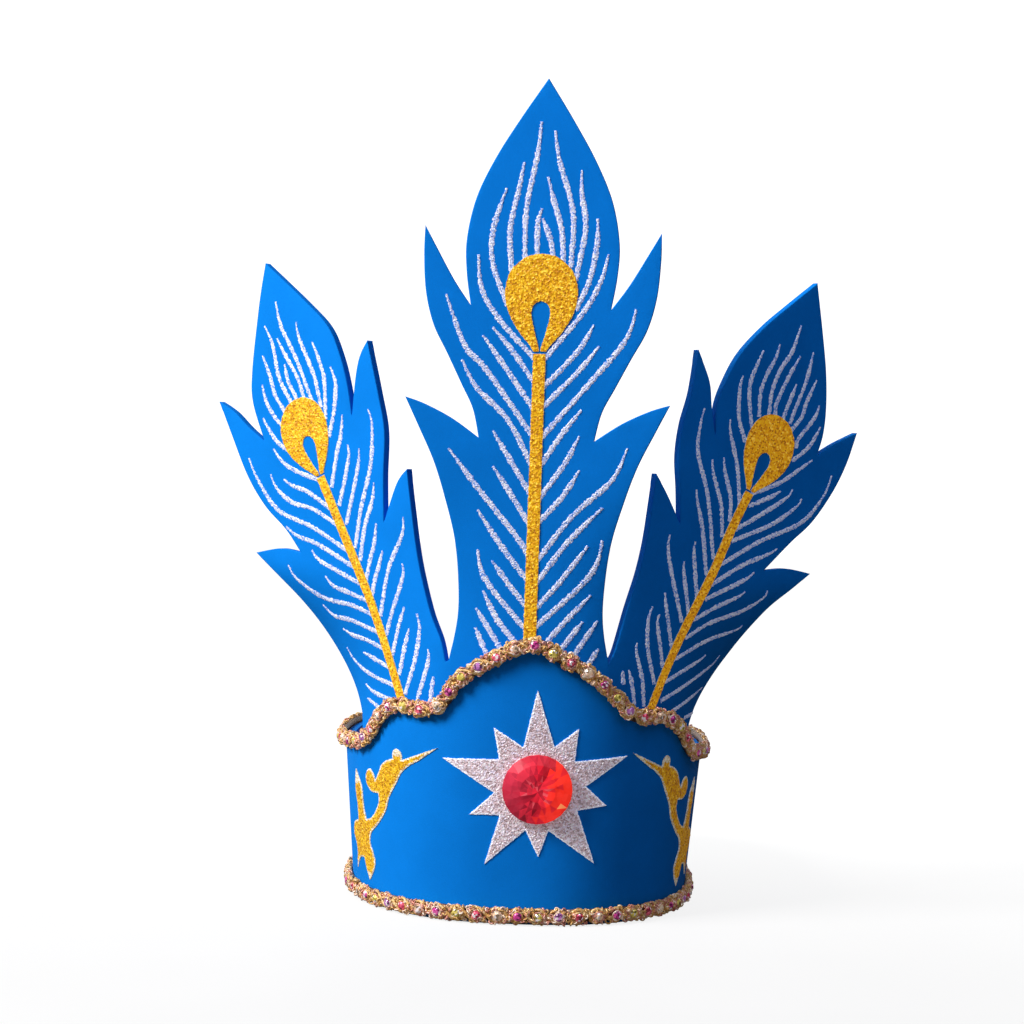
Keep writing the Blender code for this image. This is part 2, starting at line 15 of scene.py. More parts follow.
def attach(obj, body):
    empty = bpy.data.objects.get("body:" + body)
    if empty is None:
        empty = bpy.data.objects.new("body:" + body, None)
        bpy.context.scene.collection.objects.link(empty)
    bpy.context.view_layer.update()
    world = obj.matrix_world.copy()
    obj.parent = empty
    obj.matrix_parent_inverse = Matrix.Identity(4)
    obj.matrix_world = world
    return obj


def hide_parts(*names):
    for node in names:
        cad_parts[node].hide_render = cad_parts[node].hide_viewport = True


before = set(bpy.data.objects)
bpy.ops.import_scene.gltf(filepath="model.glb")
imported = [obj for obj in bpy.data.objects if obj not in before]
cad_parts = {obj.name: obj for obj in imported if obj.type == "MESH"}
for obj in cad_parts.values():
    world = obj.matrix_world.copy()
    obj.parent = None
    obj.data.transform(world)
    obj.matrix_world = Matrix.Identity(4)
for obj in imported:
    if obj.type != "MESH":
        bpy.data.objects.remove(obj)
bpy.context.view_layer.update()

MM = 0.001

# Head opening, band and feather sheet, as in the solids
HALF_BREADTH = 77.0 * MM
HALF_LENGTH = 97.0 * MM
PLAN_POWER = 2.4
FLARE = tan(radians(5.0))
RING_PLACE = (-1.35 * MM, 7.7 * MM)
FOAM = 4.0 * MM
GAP = 0.3 * MM
PANEL_FRONT = FOAM + GAP
PANEL_BACK = PANEL_FRONT + FOAM
SEAM = 33.0 * MM
SEAM_TOP = 111.5 * MM
SEAM_BLEND = 7.0 * MM
SIDE_HEADINGS = {1.0: radians(30.0), -1.0: radians(33.0)}
SIDE_FLATTENS = (80.0 * MM, 150.0 * MM)
CENTRE_FLATTENS = (112.0 * MM, 200.0 * MM)
FOOT_BOTTOM = 56.0 * MM
FOOT_END = 93.0 * MM
FOOT_END_TOP = 70.0 * MM
CENTRE_SHIFT = 1.0 * MM
SIDE_ROOT = (52.0 * MM, 92.0 * MM)
SIDE_LEAN = radians(24.5)
PARTING = (
    (SEAM_TOP, 190.0 * MM, 224.0 * MM), (SEAM, 43.0 * MM, 60.0 * MM),
)

# Glitter pieces
GLITTER_PROUD = 0.62 * MM
UNDERSIDE = 0.02 * MM
OUTLINE_STEP = 0.5 * MM
GLITTER_GRAIN = 0.5 * MM
GOLD_GRAIN = 0.72 * MM
GRAIN_RELIEF = 0.28 * MM
PALE_EDGE = 0.55 * MM
RAGGED = 0.13 * MM
BARB_TAIL = 2.4 * MM
BARB_RISE = 0.3 * MM
BARB_LANES = (-1.0, -0.5, 0.0, 0.5, 1.0)

# Braids
BRAID_WIDTH = 8.0 * MM
STONE_PITCH = 8.6 * MM
LOOPS_A_STONE = 24
LOOP_POINTS = 9
LOOP_SIZE = (0.7 * MM, 1.25 * MM)
LOOP_WIRE = 0.29 * MM
LOOP_SPREAD = 3.5 * MM
LOOP_HEIGHTS = (0.4 * MM, 3.9 * MM)
LOBE_REACH, LOBE_DIP = 4.0 * MM, 1.0 * MM
HEAP_RISE_MM, HEAP_CROWN_MM = 2.75, 0.09
SEAT_CLEAR = 2.4 * MM
EDGE_REACH = 3.85 * MM
BEZEL_RADIUS = 2.15 * MM
BEZEL_WIDTH = 2.1 * MM
BEZEL_RISE = 2.85 * MM
BEZEL_WIRE = 0.34 * MM
BEZEL_POINTS = 12
STONE_SEAT = 2.45 * MM
WEAVE_REACH = 3.0 * MM
WEAVE_RISE = (1.6 * MM, 0.7 * MM)
WEAVE_WIRE = 0.72 * MM
WEAVE_POINTS = 12
LOWER_BRAID_HEIGHT = GAP + BRAID_WIDTH / 2
CORD_STOPS = (0.26, 0.38, 0.5, 0.62, 0.76)

# Star, its stone and the middle between the birds
STAR_CENTRE = (6.5 * MM, 59.7 * MM)
STONE_CENTRE = (6.3 * MM, 59.3 * MM)
PRINT_SHIFT = 5.5 * MM

# Quills, in mm
CENTRE_QUILL_FOOT = 121.0
CENTRE_EYE_FOOT = 244.5
SIDE_QUILL_FOOT = -1.0
SIDE_EYE_FOOT = 107.5
SIDE_SCALE = 0.87
EYE_SLIT = 0.9
QUILL_HALF = 2.65

BAND_TOP = (
    # along the head from the front mm, height of the band's top edge mm
    (-122, 68.5), (-102, 71), (-87, 71.5), (-77, 73.5), (-69, 78), (-63, 85), (-57, 90.2),
    (-50, 91.8), (-42, 91), (-36, 91.8), (-32, 95), (-27, 103.5), (-22, 108.3), (-8.5, 117.3),
    (0, 121), (6, 120.5), (13, 116.5), (24.5, 109.5), (33, 102), (41, 93.5), (46, 90.7), (55, 90.5),
    (62, 89), (68, 86), (75, 80.5), (81, 75), (88, 71.3), (98, 70.5), (122, 68.5),
)

CENTRE_EDGE = (
    # half width mm, height mm; and 1 at a corner
    (33, 111.5, 1), (29.5, 131), (29.8, 148.2), (32.3, 165.3), (37.6, 182.5), (43.5, 198.3),
    (50, 212), (56, 224.3, 1), (47.5, 221.5), (35.9, 215.8), (24.5, 208, 1), (27.3, 220),
    (32.5, 230.5), (38.8, 243), (45, 255), (48.6, 268.7), (49.8, 284.3), (49.6, 296.2, 1),
    (44.4, 287), (36.7, 273.7), (29.6, 263.6, 1), (31.7, 277), (32.1, 291), (28.6, 308.2),
    (21.2, 324.7), (11.3, 341.3), (0, 358.5, 1),
)

LEFT_EDGE = (
    # across mm, outward positive; along the feather mm; and 1 at a corner
    (-27.5, 19.5), (-28, 33), (-31.5, 54), (-38, 76.5), (-43, 92, 1), (-35, 88.5), (-21.5, 76, 1),
    (-30, 94), (-39, 111.5), (-43, 128), (-47.5, 150.5, 1), (-40.5, 146), (-34, 138),
    (-25.5, 124.5, 1), (-29, 137), (-31, 150.5), (-30.5, 164.5), (-24, 179.5), (-10.5, 205, 1),
    (-3, 195.5), (4.5, 185), (17.5, 165.5), (23.5, 152.5), (25, 134, 1), (30.5, 143), (35.5, 153),
    (41.5, 160.5, 1), (41.5, 143.5), (41, 123.5), (37.5, 107.5), (31, 93.5), (27.5, 81, 1),
    (37.5, 87), (51.5, 90.5, 1), (44.5, 76), (39, 61), (36.5, 45), (37, 22), (39.5, 8, 1),
)

RIGHT_EDGE = (
    # across mm, outward positive; along the feather mm; and 1 at a corner
    (-25.5, 17.5), (-29, 36), (-31.5, 52), (-35, 65.5), (-40.5, 81), (-45, 93, 1), (-35, 87.5),
    (-23, 79.5, 1), (-30.5, 92), (-38.5, 104.5), (-43.5, 117.5), (-46.5, 132), (-52.5, 149, 1),
    (-40.5, 140), (-33.5, 130.5), (-25.5, 120.5, 1), (-31.5, 132), (-33, 143.5), (-32, 158),
    (-26.5, 174), (-19, 189), (-11, 204, 1), (4, 185), (14, 171.5), (22, 158), (26.5, 147),
    (28, 138, 1), (34.5, 147), (43, 156.5, 1), (45, 142), (44.5, 127), (41, 110.5), (35, 97.5),
    (28, 80.5, 1), (39, 86.5), (52, 90, 1), (46.5, 79.5), (41, 67.5), (39, 53.5), (40, 40),
    (42, 27), (44.5, 8, 1),
)

LEFT_AXIS = (
    # along the feather mm, across mm of the quill's middle
    (0, 2.6), (22, 1.3), (40, 0.3), (55, 0.1), (80, 1), (107, 2), (125, 1.8), (144, 0.6),
)

RIGHT_AXIS = (
    # along the feather mm, across mm of the quill's middle
    (0, 4.2), (22, 2.8), (40, 2.5), (67, 3.4), (92, 2.4), (107, 2.9), (125, 2.8), (144, 1.6),
)

EYE_WIDTH = (
    # height above the eye's foot mm, half width mm, both of the centre feather
    (0, 2.5), (3, 4.4), (8.5, 9), (15, 13), (21.5, 15), (27, 15.2), (33.5, 13.4), (38, 9.4),
    (40.5, 5.4), (41.4, 0),
)

DROP_WIDTH = (
    # height above the eye's foot mm, half width mm of the open drop in the eye
    (0.3, 0.35), (2.6, 0.6), (6, 1.7), (11, 2.9), (15.5, 3.9), (18.7, 3.6), (20.9, 2.1), (21.6, 0),
)

STAR_EDGE = (
    # direction from the middle in degrees, distance mm: a tip and the notch after it
    (92, 42), (71, 18.7), (59, 29.9), (38.5, 18.5), (20.5, 39.1), (2.5, 19.6), (-15, 29.9),
    (-30, 19), (-52.5, 41.4), (-74.5, 19.2), (-87.5, 30), (-103.5, 19), (-122, 39.9), (-141, 19.7),
    (-155.5, 30.5), (-171, 18.1), (164.5, 40.5), (144, 20), (126.5, 31.3), (110.5, 18.4),
)

BIRD_EDGE = (
    # outward from the print's middle mm, height mm; and 1 at a corner
    (40.3, 74.6, 1), (48.5, 71), (57.3, 67.3, 1), (57.8, 70.4), (60.2, 72), (62.4, 70.2),
    (62.6, 67.3, 1), (66.5, 66), (70, 63.5), (72.2, 60), (75, 55.8, 1), (76.6, 59), (79.8, 60.6),
    (83, 57.8), (83, 54), (79, 50.8), (73, 50.8, 1), (73, 46.5), (76.5, 41.5), (80.5, 38.4),
    (85, 37.2, 1), (87.4, 43), (89, 51.5), (95.5, 58.2, 1), (97.5, 50), (95.5, 42.5), (95, 35.5, 1),
    (102.5, 33), (104.5, 28), (99.5, 22.5), (100.5, 13, 1), (95, 18.5), (89.3, 19.5, 1),
    (87.5, 15.5), (84, 10.3, 1), (79.8, 15), (78, 19.5), (79.8, 23.5), (82, 27.5), (80.5, 32),
    (75.5, 35.8), (71, 40), (67.8, 44.3), (65.3, 50.3), (61, 56.5), (58, 61.5), (53.7, 65.3),
    (48, 68.8),
)

PALE_SPOTS = (
    # where the bird is pale: outward from the print's middle mm, height mm, radius mm
    (41.5, 74.3, 3.6), (60.2, 71.6, 2.9), (84.3, 11.5, 2.6), (95.3, 56.5, 5.0),
)

CENTRE_BARBS = (
    # each barb's points from its tip to its root, in turn along the head mm and height mm
    (-26, 284.5, -24, 270, -16, 257.5, -1, 242), (-15, 312.5, -20, 296, -20, 281.5, -14, 266),
    (-8, 323.5, -10, 312, -13, 296, -12, 279.5), (-1.5, 340.5, -2.5, 328, -6.5, 304.5, -6.5, 284),
    (0, 304.5, -1.5, 299, -1.5, 286), (0.5, 300.5, 4, 291.5, 5, 287),
    (2, 318, 5, 307.5, 8.5, 296, 9.5, 285), (4.5, 337, 6.5, 325, 13, 303.5, 13, 283),
    (16, 321, 16.5, 311, 18.5, 297, 15.5, 277.5), (23.5, 301, 23.5, 290, 21, 275.5, 16.5, 265),
    (28.5, 286.5, 26, 276, 19.5, 263, 4.5, 243.5), (-19, 254.5, -10.5, 245, -0.5, 231.5),
    (-23, 251, -15.5, 241, -0.5, 220.5), (-39, 267.5, -30.5, 246.5, -21, 236.5, -0.5, 209),
    (-31.5, 240.5, -25, 229, -11.5, 216, -0.5, 196.5), (-17.5, 211, -10.5, 200, 0, 183.5),
    (-17, 196, -10, 186, 0, 170.5), (-36, 203, -24, 188, -5.5, 166, 0, 157),
    (-22.5, 177.5, -12.5, 163, 0, 147), (-21.5, 160.5, -17.5, 147.5, 0, 126),
    (-15.5, 156, -7.5, 145, -0.5, 136.5), (-18.5, 143, -12.5, 131, -5, 121.5),
    (-21, 135.5, -15, 125.5, -10.5, 118), (-21, 127, -16, 115), (23.5, 257, 17, 245.5, 4, 231),
    (26, 248, 17.5, 237, 4, 222.5), (41, 264, 37, 251, 23.5, 233.5, 4, 210),
    (19.5, 221, 12, 211, 4, 198.5), (19, 210, 13.5, 198.5, 4, 184.5),
    (19.5, 195.5, 13, 184.5, 4, 174), (39.5, 205.5, 33.5, 192, 17, 176, 4, 158),
    (29.5, 180, 15, 164.5, 4, 148.5), (23.5, 163.5, 11.5, 146.5, 4, 137.5),
    (29.5, 166, 24.5, 151, 4, 129), (25, 142.5, 16, 132, 8, 122), (22, 131, 14, 119),
    (28, 131.5, 19, 116), (29, 119.5, 25, 112),
)

LEFT_BARBS = (
    # each barb's points from its tip to its root, in turn across mm, outward positive, and
    # along the feather mm
    (-8.5, 187, -6.5, 176, -8, 160, -8, 141), (-15, 174, -13.5, 166, -14, 149, -12, 137),
    (-19.5, 162.5, -19.5, 154, -18.5, 145, -12.5, 131),
    (-24, 148.5, -23.5, 141, -18, 131, -11.5, 123), (-2, 172, -3, 164, -5, 152, -4.5, 142.5),
    (2, 180, 1.5, 171, 4.5, 156, 3, 143), (-1, 160, 0.5, 153, -0.5, 144),
    (9, 168.5, 9, 159, 10, 150, 8, 140), (15, 157, 16, 149, 14.5, 141, 11.5, 134),
    (21, 143.5, 20, 137, 17.5, 129.5, 11.5, 122), (21.5, 128.5, 19, 121, 13, 114, 3, 105.5),
    (22, 114, 18.5, 109.5, 11.5, 103.5, 3, 92), (28, 119, 27.5, 112, 22, 103, 12, 95.5, 3, 84.5),
    (36.5, 130.5, 36, 120, 31, 103, 16.5, 89, 4, 74), (30, 94.5, 26, 88.5, 16.5, 80.5, 3, 65),
    (21, 79.5, 19, 74, 12, 66.5, 2.5, 56.5), (19, 66.5, 17, 61, 10.5, 55.5, 3, 49),
    (36.5, 78.5, 35, 71, 26, 59, 12, 50, 3, 42.5), (28, 56, 24.5, 49.5, 15.5, 44, 3, 34),
    (23, 42.5, 18.5, 38, 11, 33, 3, 26), (16.5, 29, 11, 24.5, 3.5, 17.5),
    (27, 35, 26, 29, 19, 20.5, 5, 10), (24, 16.5, 19.5, 11.5, 9, 4.5), (27, 11, 20, 5),
    (-21, 127, -16.5, 119.5, -10.5, 112.5, -3, 102.5),
    (-18, 114, -16.5, 109.5, -10, 101, -3.5, 93.5), (-23, 110, -20, 104.5, -12, 94.5, -3.5, 84.5),
    (-35, 123.5, -34, 116.5, -26, 101.5, -13, 86.5, -3.5, 73.5),
    (-24, 93.5, -20, 87, -11, 78, -3.5, 67.5), (-17.5, 77, -13, 70, -8, 64.5, -3, 58.5),
    (-15.5, 65, -11, 60, -6.5, 55.5, -2.5, 50.5), (-32, 74, -28.5, 67.5, -15, 56.5, -3.5, 41.5),
    (-23, 56, -20.5, 50.5, -9, 39, -3, 32.5), (-16, 38.5, -11, 33.5, -2.5, 23.5),
    (-14.5, 29, -10.5, 24.5, -2.5, 14.5), (-21, 33.5, -19.5, 27, -12, 16, -2, 5.5),
    (-20, 17.5, -17.5, 12.5, -7, 1), (-17.5, 6, -12.5, -1.5),
)

RIGHT_BARBS = (
    # each barb's points from its tip to its root, in turn across mm, outward positive, and
    # along the feather mm
    (-9.5, 183.5, -8, 171, -9.5, 162, -9, 152, -6, 144),
    (-15.5, 171, -14.5, 165, -15, 156, -14, 148, -10.5, 140.5),
    (-22, 164.5, -21.5, 151.5, -19, 144.5, -12, 134.5), (-26, 150, -25, 145, -19, 133.5, -12, 127),
    (-3, 171.5, -4, 160, -4, 148.5, -3, 145), (2.5, 176.5, 5.5, 164, 6.5, 150.5, 7, 145.5),
    (1.5, 160, 2, 152, 2.5, 145.5), (10.5, 166.5, 10.5, 156, 11.5, 149, 10, 143),
    (17.5, 157.5, 18, 151.5, 15, 140, 15, 137.5), (23, 149.5, 22.5, 142, 21, 137, 18, 131.5),
    (26.5, 134.5, 23, 129, 16, 118.5, 6, 108.5), (18, 115, 14.5, 110.5, 7.5, 103.5),
    (23.5, 118.5, 22.5, 114, 14.5, 102.5, 6, 91.5), (30, 117, 29.5, 113, 21.5, 100.5, 7, 86),
    (40, 133.5, 40.5, 123, 35.5, 108, 19, 90.5, 5, 72.5), (29.5, 92, 26.5, 88, 16, 77.5, 6, 64),
    (23.5, 77.5, 20.5, 72.5, 7.5, 58), (23.5, 68, 21.5, 64.5, 13, 55.5, 6.5, 47.5),
    (34.5, 73.5, 34.5, 69.5, 27.5, 60, 14.5, 48.5, 7, 39),
    (33.5, 55.5, 31.5, 52, 18.5, 41.5, 6.5, 28), (23, 36, 20, 31.5, 7, 17.5),
    (33.5, 40, 32.5, 34.5, 23, 23, 9.5, 9.5), (38, 25.5, 33, 20, 21, 9), (44, 15, 35, 10),
    (-22.5, 130.5, -19.5, 125.5, -8.5, 114, 1, 100), (-17, 114.5, -13.5, 109.5, -5, 101, -1, 93.5),
    (-22, 111, -18.5, 106, -8, 96, -1.5, 86),
    (-37, 128.5, -35.5, 122, -30.5, 110.5, -16, 96, -1, 75.5),
    (-23, 96, -20, 92, -11, 82, -0.5, 67.5), (-12, 76, -9.5, 70.5, 1, 55.5),
    (-13, 66, -10, 61, -0.5, 49), (-25.5, 73, -23, 67, -14, 56.5, -2, 44),
    (-15, 50, -11.5, 45, 0, 31), (-13, 40.5, -11.5, 36, -1, 23),
    (-18, 42, -17, 36, -11.5, 25.5, -1.5, 14.5), (-17.5, 25, -15.5, 21, -7, 12, -1.5, 4),
    (-15.5, 13, -12, 9.5, -6.5, 2.5), (-18, 11.5, -16, 8.5),
)

BIG_STONE_RINGS = (
    # radius mm, height mm, points, share of a facet's turn, ripple mm, from the middle outward
    (0.0, 5.7, 1, 0.0, 0.0), (2.4, 5.65, 12, 0.0, 0.07), (4.6, 5.8, 24, 0.25, 0.06),
    (7.6, 5.7, 24, 0.0, 0.08), (11.2, 4.35, 24, 0.25, 0.1), (15.0, 1.6, 24, 0.0, 0.0),
    (15.0, 0.8, 24, 0.0, 0.0), (14.2, 0.05, 24, 0.0, 0.0),
)

# the tones are painted light and shade: bright glowing red on the right, darker at the top, lighter
# rose on the upper left, dark crimson on the left
STONE_TONES = (
    # facets of the big stone, from the right anticlockwise: tone of the rim, of the crown
    ("blaze", "blaze"), ("blaze", "ruby"), ("crimson", "deep"), ("rose", "crimson"),
    ("rose", "rose"), ("crimson", "crimson"), ("crimson", "deep"), ("crimson", "deep"),
    ("ruby", "crimson"), ("blaze", "ruby"), ("blaze", "blaze"), ("blaze", "blaze"),
)

BRAID_STONES = (
    # colours of a braid's small stones, in turn along it
    "rose", "clear", "magenta", "citrine", "rose", "clear", "magenta", "citrine", "violet",
)


def plan_curve(samples=4000, kept=500):
    """Arc length, place and heading of the band's outer rim, from the front to the back."""
    turn = np.linspace(0.0, pi, samples + 1)
    across = np.abs(np.sin(turn)) ** (2 / PLAN_POWER)
    along = np.sign(np.cos(turn)) * np.abs(np.cos(turn)) ** (2 / PLAN_POWER)
    x = HALF_BREADTH * across
    y = -HALF_LENGTH * along
    arc = np.concatenate([[0.0], np.cumsum(np.hypot(np.diff(x), np.diff(y)))])
    even = np.linspace(0.0, arc[-1], kept)
    x = np.interp(even, arc, x)
    y = np.interp(even, arc, y)
    heading = np.unwrap(np.arctan2(np.gradient(y, even), np.gradient(x, even)))
    heading[0] = 0.0
    heading[-1] = pi
    return even, x, y, heading


ARC, ARC_X, ARC_Y, ARC_HEADING = plan_curve()
HALF_ROUND = float(ARC[-1])


def eased(value, low, high):
    """0 below low, 1 above high, with a smooth change between."""
    share = np.clip((np.asarray(value, float) - low) / (high - low), 0.0, 1.0)
    return share * share * (3.0 - 2.0 * share)


def unit(vectors):
    """The vectors, each divided by its length."""
    return vectors / np.maximum(np.linalg.norm(vectors, axis=-1, keepdims=True), 1e-12)


def distances(line):
    """How far along a line each of its points lies."""
    return np.concatenate([[0.0], np.cumsum(np.linalg.norm(np.diff(line, axis=0), axis=1))])


class Walk:
    """Where steps along the sheet lead when it bends between a flat heading and the rim's."""

    def __init__(self, start, flat):
        self.flat = flat
        self.mixes = np.linspace(0.0, 1.0, 33)
        self.arcs = np.linspace(0.0, 170.0 * MM, 341)
        rim = np.interp(self.arcs, ARC, ARC_HEADING)
        heading = flat + self.mixes[:, None] * (rim[None, :] - flat)
        middle = (heading[:, 1:] + heading[:, :-1]) / 2
        step = self.arcs[1]
        origin = int(round(start / step))
        self.tables = []
        for turned in (np.cos(middle), np.sin(middle)):
            run = np.concatenate([np.zeros((len(self.mixes), 1)), np.cumsum(turned, 1) * step], 1)
            self.tables.append(run - run[:, origin:origin + 1])

    def at(self, arc, mix):
        """Steps across and back, and the heading, after an arc with a share of the curve."""
        row = np.clip(mix, 0.0, 1.0) * (len(self.mixes) - 1)
        column = np.clip(arc / self.arcs[1], 0.0, len(self.arcs) - 1.001)
        i = np.minimum(row.astype(int), len(self.mixes) - 2)
        j = column.astype(int)
        a, b = row - i, column - j
        steps = [
            (table[i, j] * (1 - b) + table[i, j + 1] * b) * (1 - a)
            + (table[i + 1, j] * (1 - b) + table[i + 1, j + 1] * b) * a
            for table in self.tables
        ]
        rim = np.interp(arc, ARC, ARC_HEADING)
        return steps[0], steps[1], self.flat + mix * (rim - self.flat)


CENTRE_WALK = Walk(0.0, 0.0)
SIDE_WALKS = {side: Walk(SEAM, flat) for side, flat in SIDE_HEADINGS.items()}


def stood_out(x, y, heading, out):
    """Points moved out of the sheet by a distance."""
    return np.stack([x + np.sin(heading) * out, y - np.cos(heading) * out])


def on_head(along, height, depth, sheet):
    """Places in the room of points of the unrolled sheet, all in metres."""
    along = np.asarray(along, float)
    height = np.asarray(height, float) + np.zeros_like(along)
    out = FLARE * height - np.asarray(depth, float)
    side = np.where(along >= 0.0, 1.0, -1.0)
    arc = np.abs(along)
    if sheet == "band":
        x = np.interp(arc, ARC, ARC_X)
        y = np.interp(arc, ARC, ARC_Y)
        plan = stood_out(x, y, np.interp(arc, ARC, ARC_HEADING), out)
    else:
        dx, dy, heading = CENTRE_WALK.at(arc, 1.0 - eased(height, *CENTRE_FLATTENS))
        centre = stood_out(dx, dy - HALF_LENGTH, heading, out)
        mix = 1.0 - eased(height, *SIDE_FLATTENS)
        seam_x = np.interp(SEAM, ARC, ARC_X)
        seam_y = np.interp(SEAM, ARC, ARC_Y)
        flank = np.zeros_like(centre)
        for hand, walk in SIDE_WALKS.items():
            dx, dy, heading = walk.at(arc, mix)
            reached = stood_out(seam_x + dx, seam_y + dy, heading, out)
            flank = np.where(side == hand, reached, flank)
        line = np.interp(height, *PARTING)
        reach = 0.01 * MM + SEAM_BLEND * (1.0 - eased(height, SEAM_TOP, SEAM_TOP + 20.0 * MM))
        share = eased(arc, line - reach, line + reach)
        plan = centre * (1.0 - share) + flank * share
    return np.stack([RING_PLACE[0] + side * plan[0], RING_PLACE[1] + plan[1], height], axis=-1)


def smooth_run(run, spacing):
    """Catmull-Rom samples through a run of points."""
    padded = [run[0]] + list(run) + [run[-1]]
    line = []
    for before, start, end, after in zip(padded, padded[1:], padded[2:], padded[3:]):
        count = max(1, round(hypot(end[0] - start[0], end[1] - start[1]) / spacing))
        for step in range(count):
            t = step / count
            line.append(tuple(
                0.5 * (2 * q + (r - p) * t + (2 * p - 5 * q + 4 * r - s) * t * t
                       + (3 * q - p - 3 * r + s) * t ** 3)
                for p, q, r, s in zip(before, start, end, after)
            ))
    line.append(tuple(run[-1]))
    return line


def flowing(rows, spacing):
    """A line through the rows, smooth between those marked as corners."""
    points = [(row[0] * MM, row[1] * MM) for row in rows]
    corners = [i for i, row in enumerate(rows) if len(row) > 2]
    line = []
    for first, last in zip(corners, corners[1:]):
        line += smooth_run(points[first:last + 1], spacing)[:-1]
    line.append(points[corners[-1]])
    return line


def band_top_height(along):
    """Height of the band's top edge at signed distances from the front."""
    line = np.array(smooth_run(BAND_TOP, 0.5))
    return np.interp(along / MM, line[:, 0], line[:, 1]) * MM


def mirrored(loop):
    """The loop on the other side of the front centre."""
    return [(-along, height) for along, height in reversed(loop)]


def side_place(across, along):
    """A place of the right feather's own axes on the unrolled sheet."""
    return (
        SIDE_ROOT[0] + across * cos(SIDE_LEAN) + along * sin(SIDE_LEAN),
        SIDE_ROOT[1] - across * sin(SIDE_LEAN) + along * cos(SIDE_LEAN),
    )


def side_feather_loop(edge, spacing):
    """A side feather and its half of the foot, from the V beside the centre feather."""
    dx, dz = SEAM - SIDE_ROOT[0], SEAM_TOP - SIDE_ROOT[1]
    start_across = dx * cos(SIDE_LEAN) - dz * sin(SIDE_LEAN)
    start_along = dx * sin(SIDE_LEAN) + dz * cos(SIDE_LEAN)
    rows = ((start_across / MM, start_along / MM, 1),) + edge
    side = [side_place(*point) for point in flowing(rows, spacing)]
    return side[1:] + [(FOOT_END, FOOT_END_TOP), (FOOT_END, FOOT_BOTTOM)]


def feather_sheet_loop(spacing):
    """Outline of the three feathers and their common foot on the unrolled sheet."""
    centre = flowing(CENTRE_EDGE, spacing)
    centre_right = [(x + CENTRE_SHIFT * (z > SEAM_TOP), z) for x, z in centre[::-1]]
    centre_left = [(-x + CENTRE_SHIFT * (z > SEAM_TOP), z) for x, z in centre[:-1]]
    right = side_feather_loop(RIGHT_EDGE, spacing)
    left = side_feather_loop(LEFT_EDGE, spacing)
    return centre_left + centre_right + right + mirrored(left)


def axis_at(rows, along):
    """Middle line of a quill at a height."""
    return float(np.interp(along, [row[0] for row in rows], [row[1] for row in rows]))


def quill_loops(foot, eye_foot, scale, axis, place):
    """Outlines of a quill's shaft and of its eye, slit open from its foot up to the drop."""
    top = eye_foot - EYE_SLIT / 2
    shaft = [(foot + (top - foot) * i / 12, QUILL_HALF * scale) for i in range(13)]
    eye = smooth_run([(eye_foot + z * scale, w * scale) for z, w in EYE_WIDTH], 1.0)
    eye[0] = (eye_foot + EYE_SLIT / 2, eye[0][1])
    drop = smooth_run([(eye_foot + z * scale, w * scale) for z, w in DROP_WIDTH], 1.0)
    drop[0] = (eye[0][0], drop[0][1])

    def side(rows, hand):
        return [(axis(z) + hand * w, z) for z, w in rows if w > 0.0 or hand > 0]

    outlines = (
        side(shaft, 1) + side(shaft, -1)[::-1],
        side(eye, 1) + side(eye, -1)[::-1] + side(drop, -1) + side(drop, 1)[::-1],
    )
    return [[place(x * MM, z * MM) for x, z in outline] for outline in outlines]


def side_quill_loops(axis):
    """Loops of a side feather's quill, drawn as the right one."""
    return quill_loops(
        SIDE_QUILL_FOOT, SIDE_EYE_FOOT, SIDE_SCALE,
        lambda along: axis_at(axis, along), side_place,
    )


def star_loop():
    """Ten points, long and short in turn."""
    return [
        (STAR_CENTRE[0] + radius * MM * cos(radians(angle)),
         STAR_CENTRE[1] + radius * MM * sin(radians(angle)))
        for angle, radius in STAR_EDGE
    ]


def bird_loop(side):
    """Outline of a bird ornament, the right one for side 1 and the left one for -1."""
    loop = flowing(BIRD_EDGE + (BIRD_EDGE[0],), 0.8 * MM)[:-1]
    return [(PRINT_SHIFT + side * out, height) for out, height in loop]


def divided(loop, spacing):
    """The loop with its long sides divided."""
    line = []
    for (x, z), (end_x, end_z) in zip(loop, loop[1:] + loop[:1]):
        length = hypot(end_x - x, end_z - z)
        if length < 0.02 * MM:
            continue
        count = max(1, round(length / spacing))
        line += [(x + (end_x - x) * i / count, z + (end_z - z) * i / count) for i in range(count)]
    return np.array(line)


def turned(loop, anticlockwise):
    """The loop in the wanted sense."""
    area = np.sum(crossed(loop, np.roll(loop, -1, axis=0)))
    return loop if (area > 0) == anticlockwise else loop[::-1].copy()


def sides_of(loops):
    """Starts and ends of all sides of the loops."""
    starts = np.concatenate(loops)
    ends = np.concatenate([np.roll(loop, -1, axis=0) for loop in loops])
    return starts, ends


def in_parts(points, work):
    """What the work finds for every point, done for some thousands of them at a time."""
    return np.concatenate([
        work(points[first:first + 4000]) for first in range(0, max(1, len(points)), 4000)
    ])


def inside(points, loops):
    """Which points lie within the loops, holes left out."""
    starts, ends = sides_of(loops)
    rise = np.where(ends[:, 1] == starts[:, 1], 1e-12, ends[:, 1] - starts[:, 1])

    def found(part):
        x, y = part[:, 0:1], part[:, 1:2]
        spans = (starts[:, 1] > y) != (ends[:, 1] > y)
        cross = starts[:, 0] + (y - starts[:, 1]) * (ends[:, 0] - starts[:, 0]) / rise
        return np.sum(spans & (x < cross), axis=1) % 2 == 1

    return in_parts(points, found)


def from_edge(points, loops):
    """Distance of each point from the nearest side of the loops."""
    starts, ends = sides_of(loops)
    run = ends - starts
    square = np.maximum(np.sum(run * run, axis=1), 1e-16)

    def nearest(part):
        offset = part[:, None, :] - starts[None, :, :]
        share = np.clip(np.sum(offset * run, axis=2) / square, 0.0, 1.0)
        gap = offset - share[:, :, None] * run
        return np.sqrt(np.min(np.sum(gap * gap, axis=2), axis=1))

    return in_parts(points, nearest)


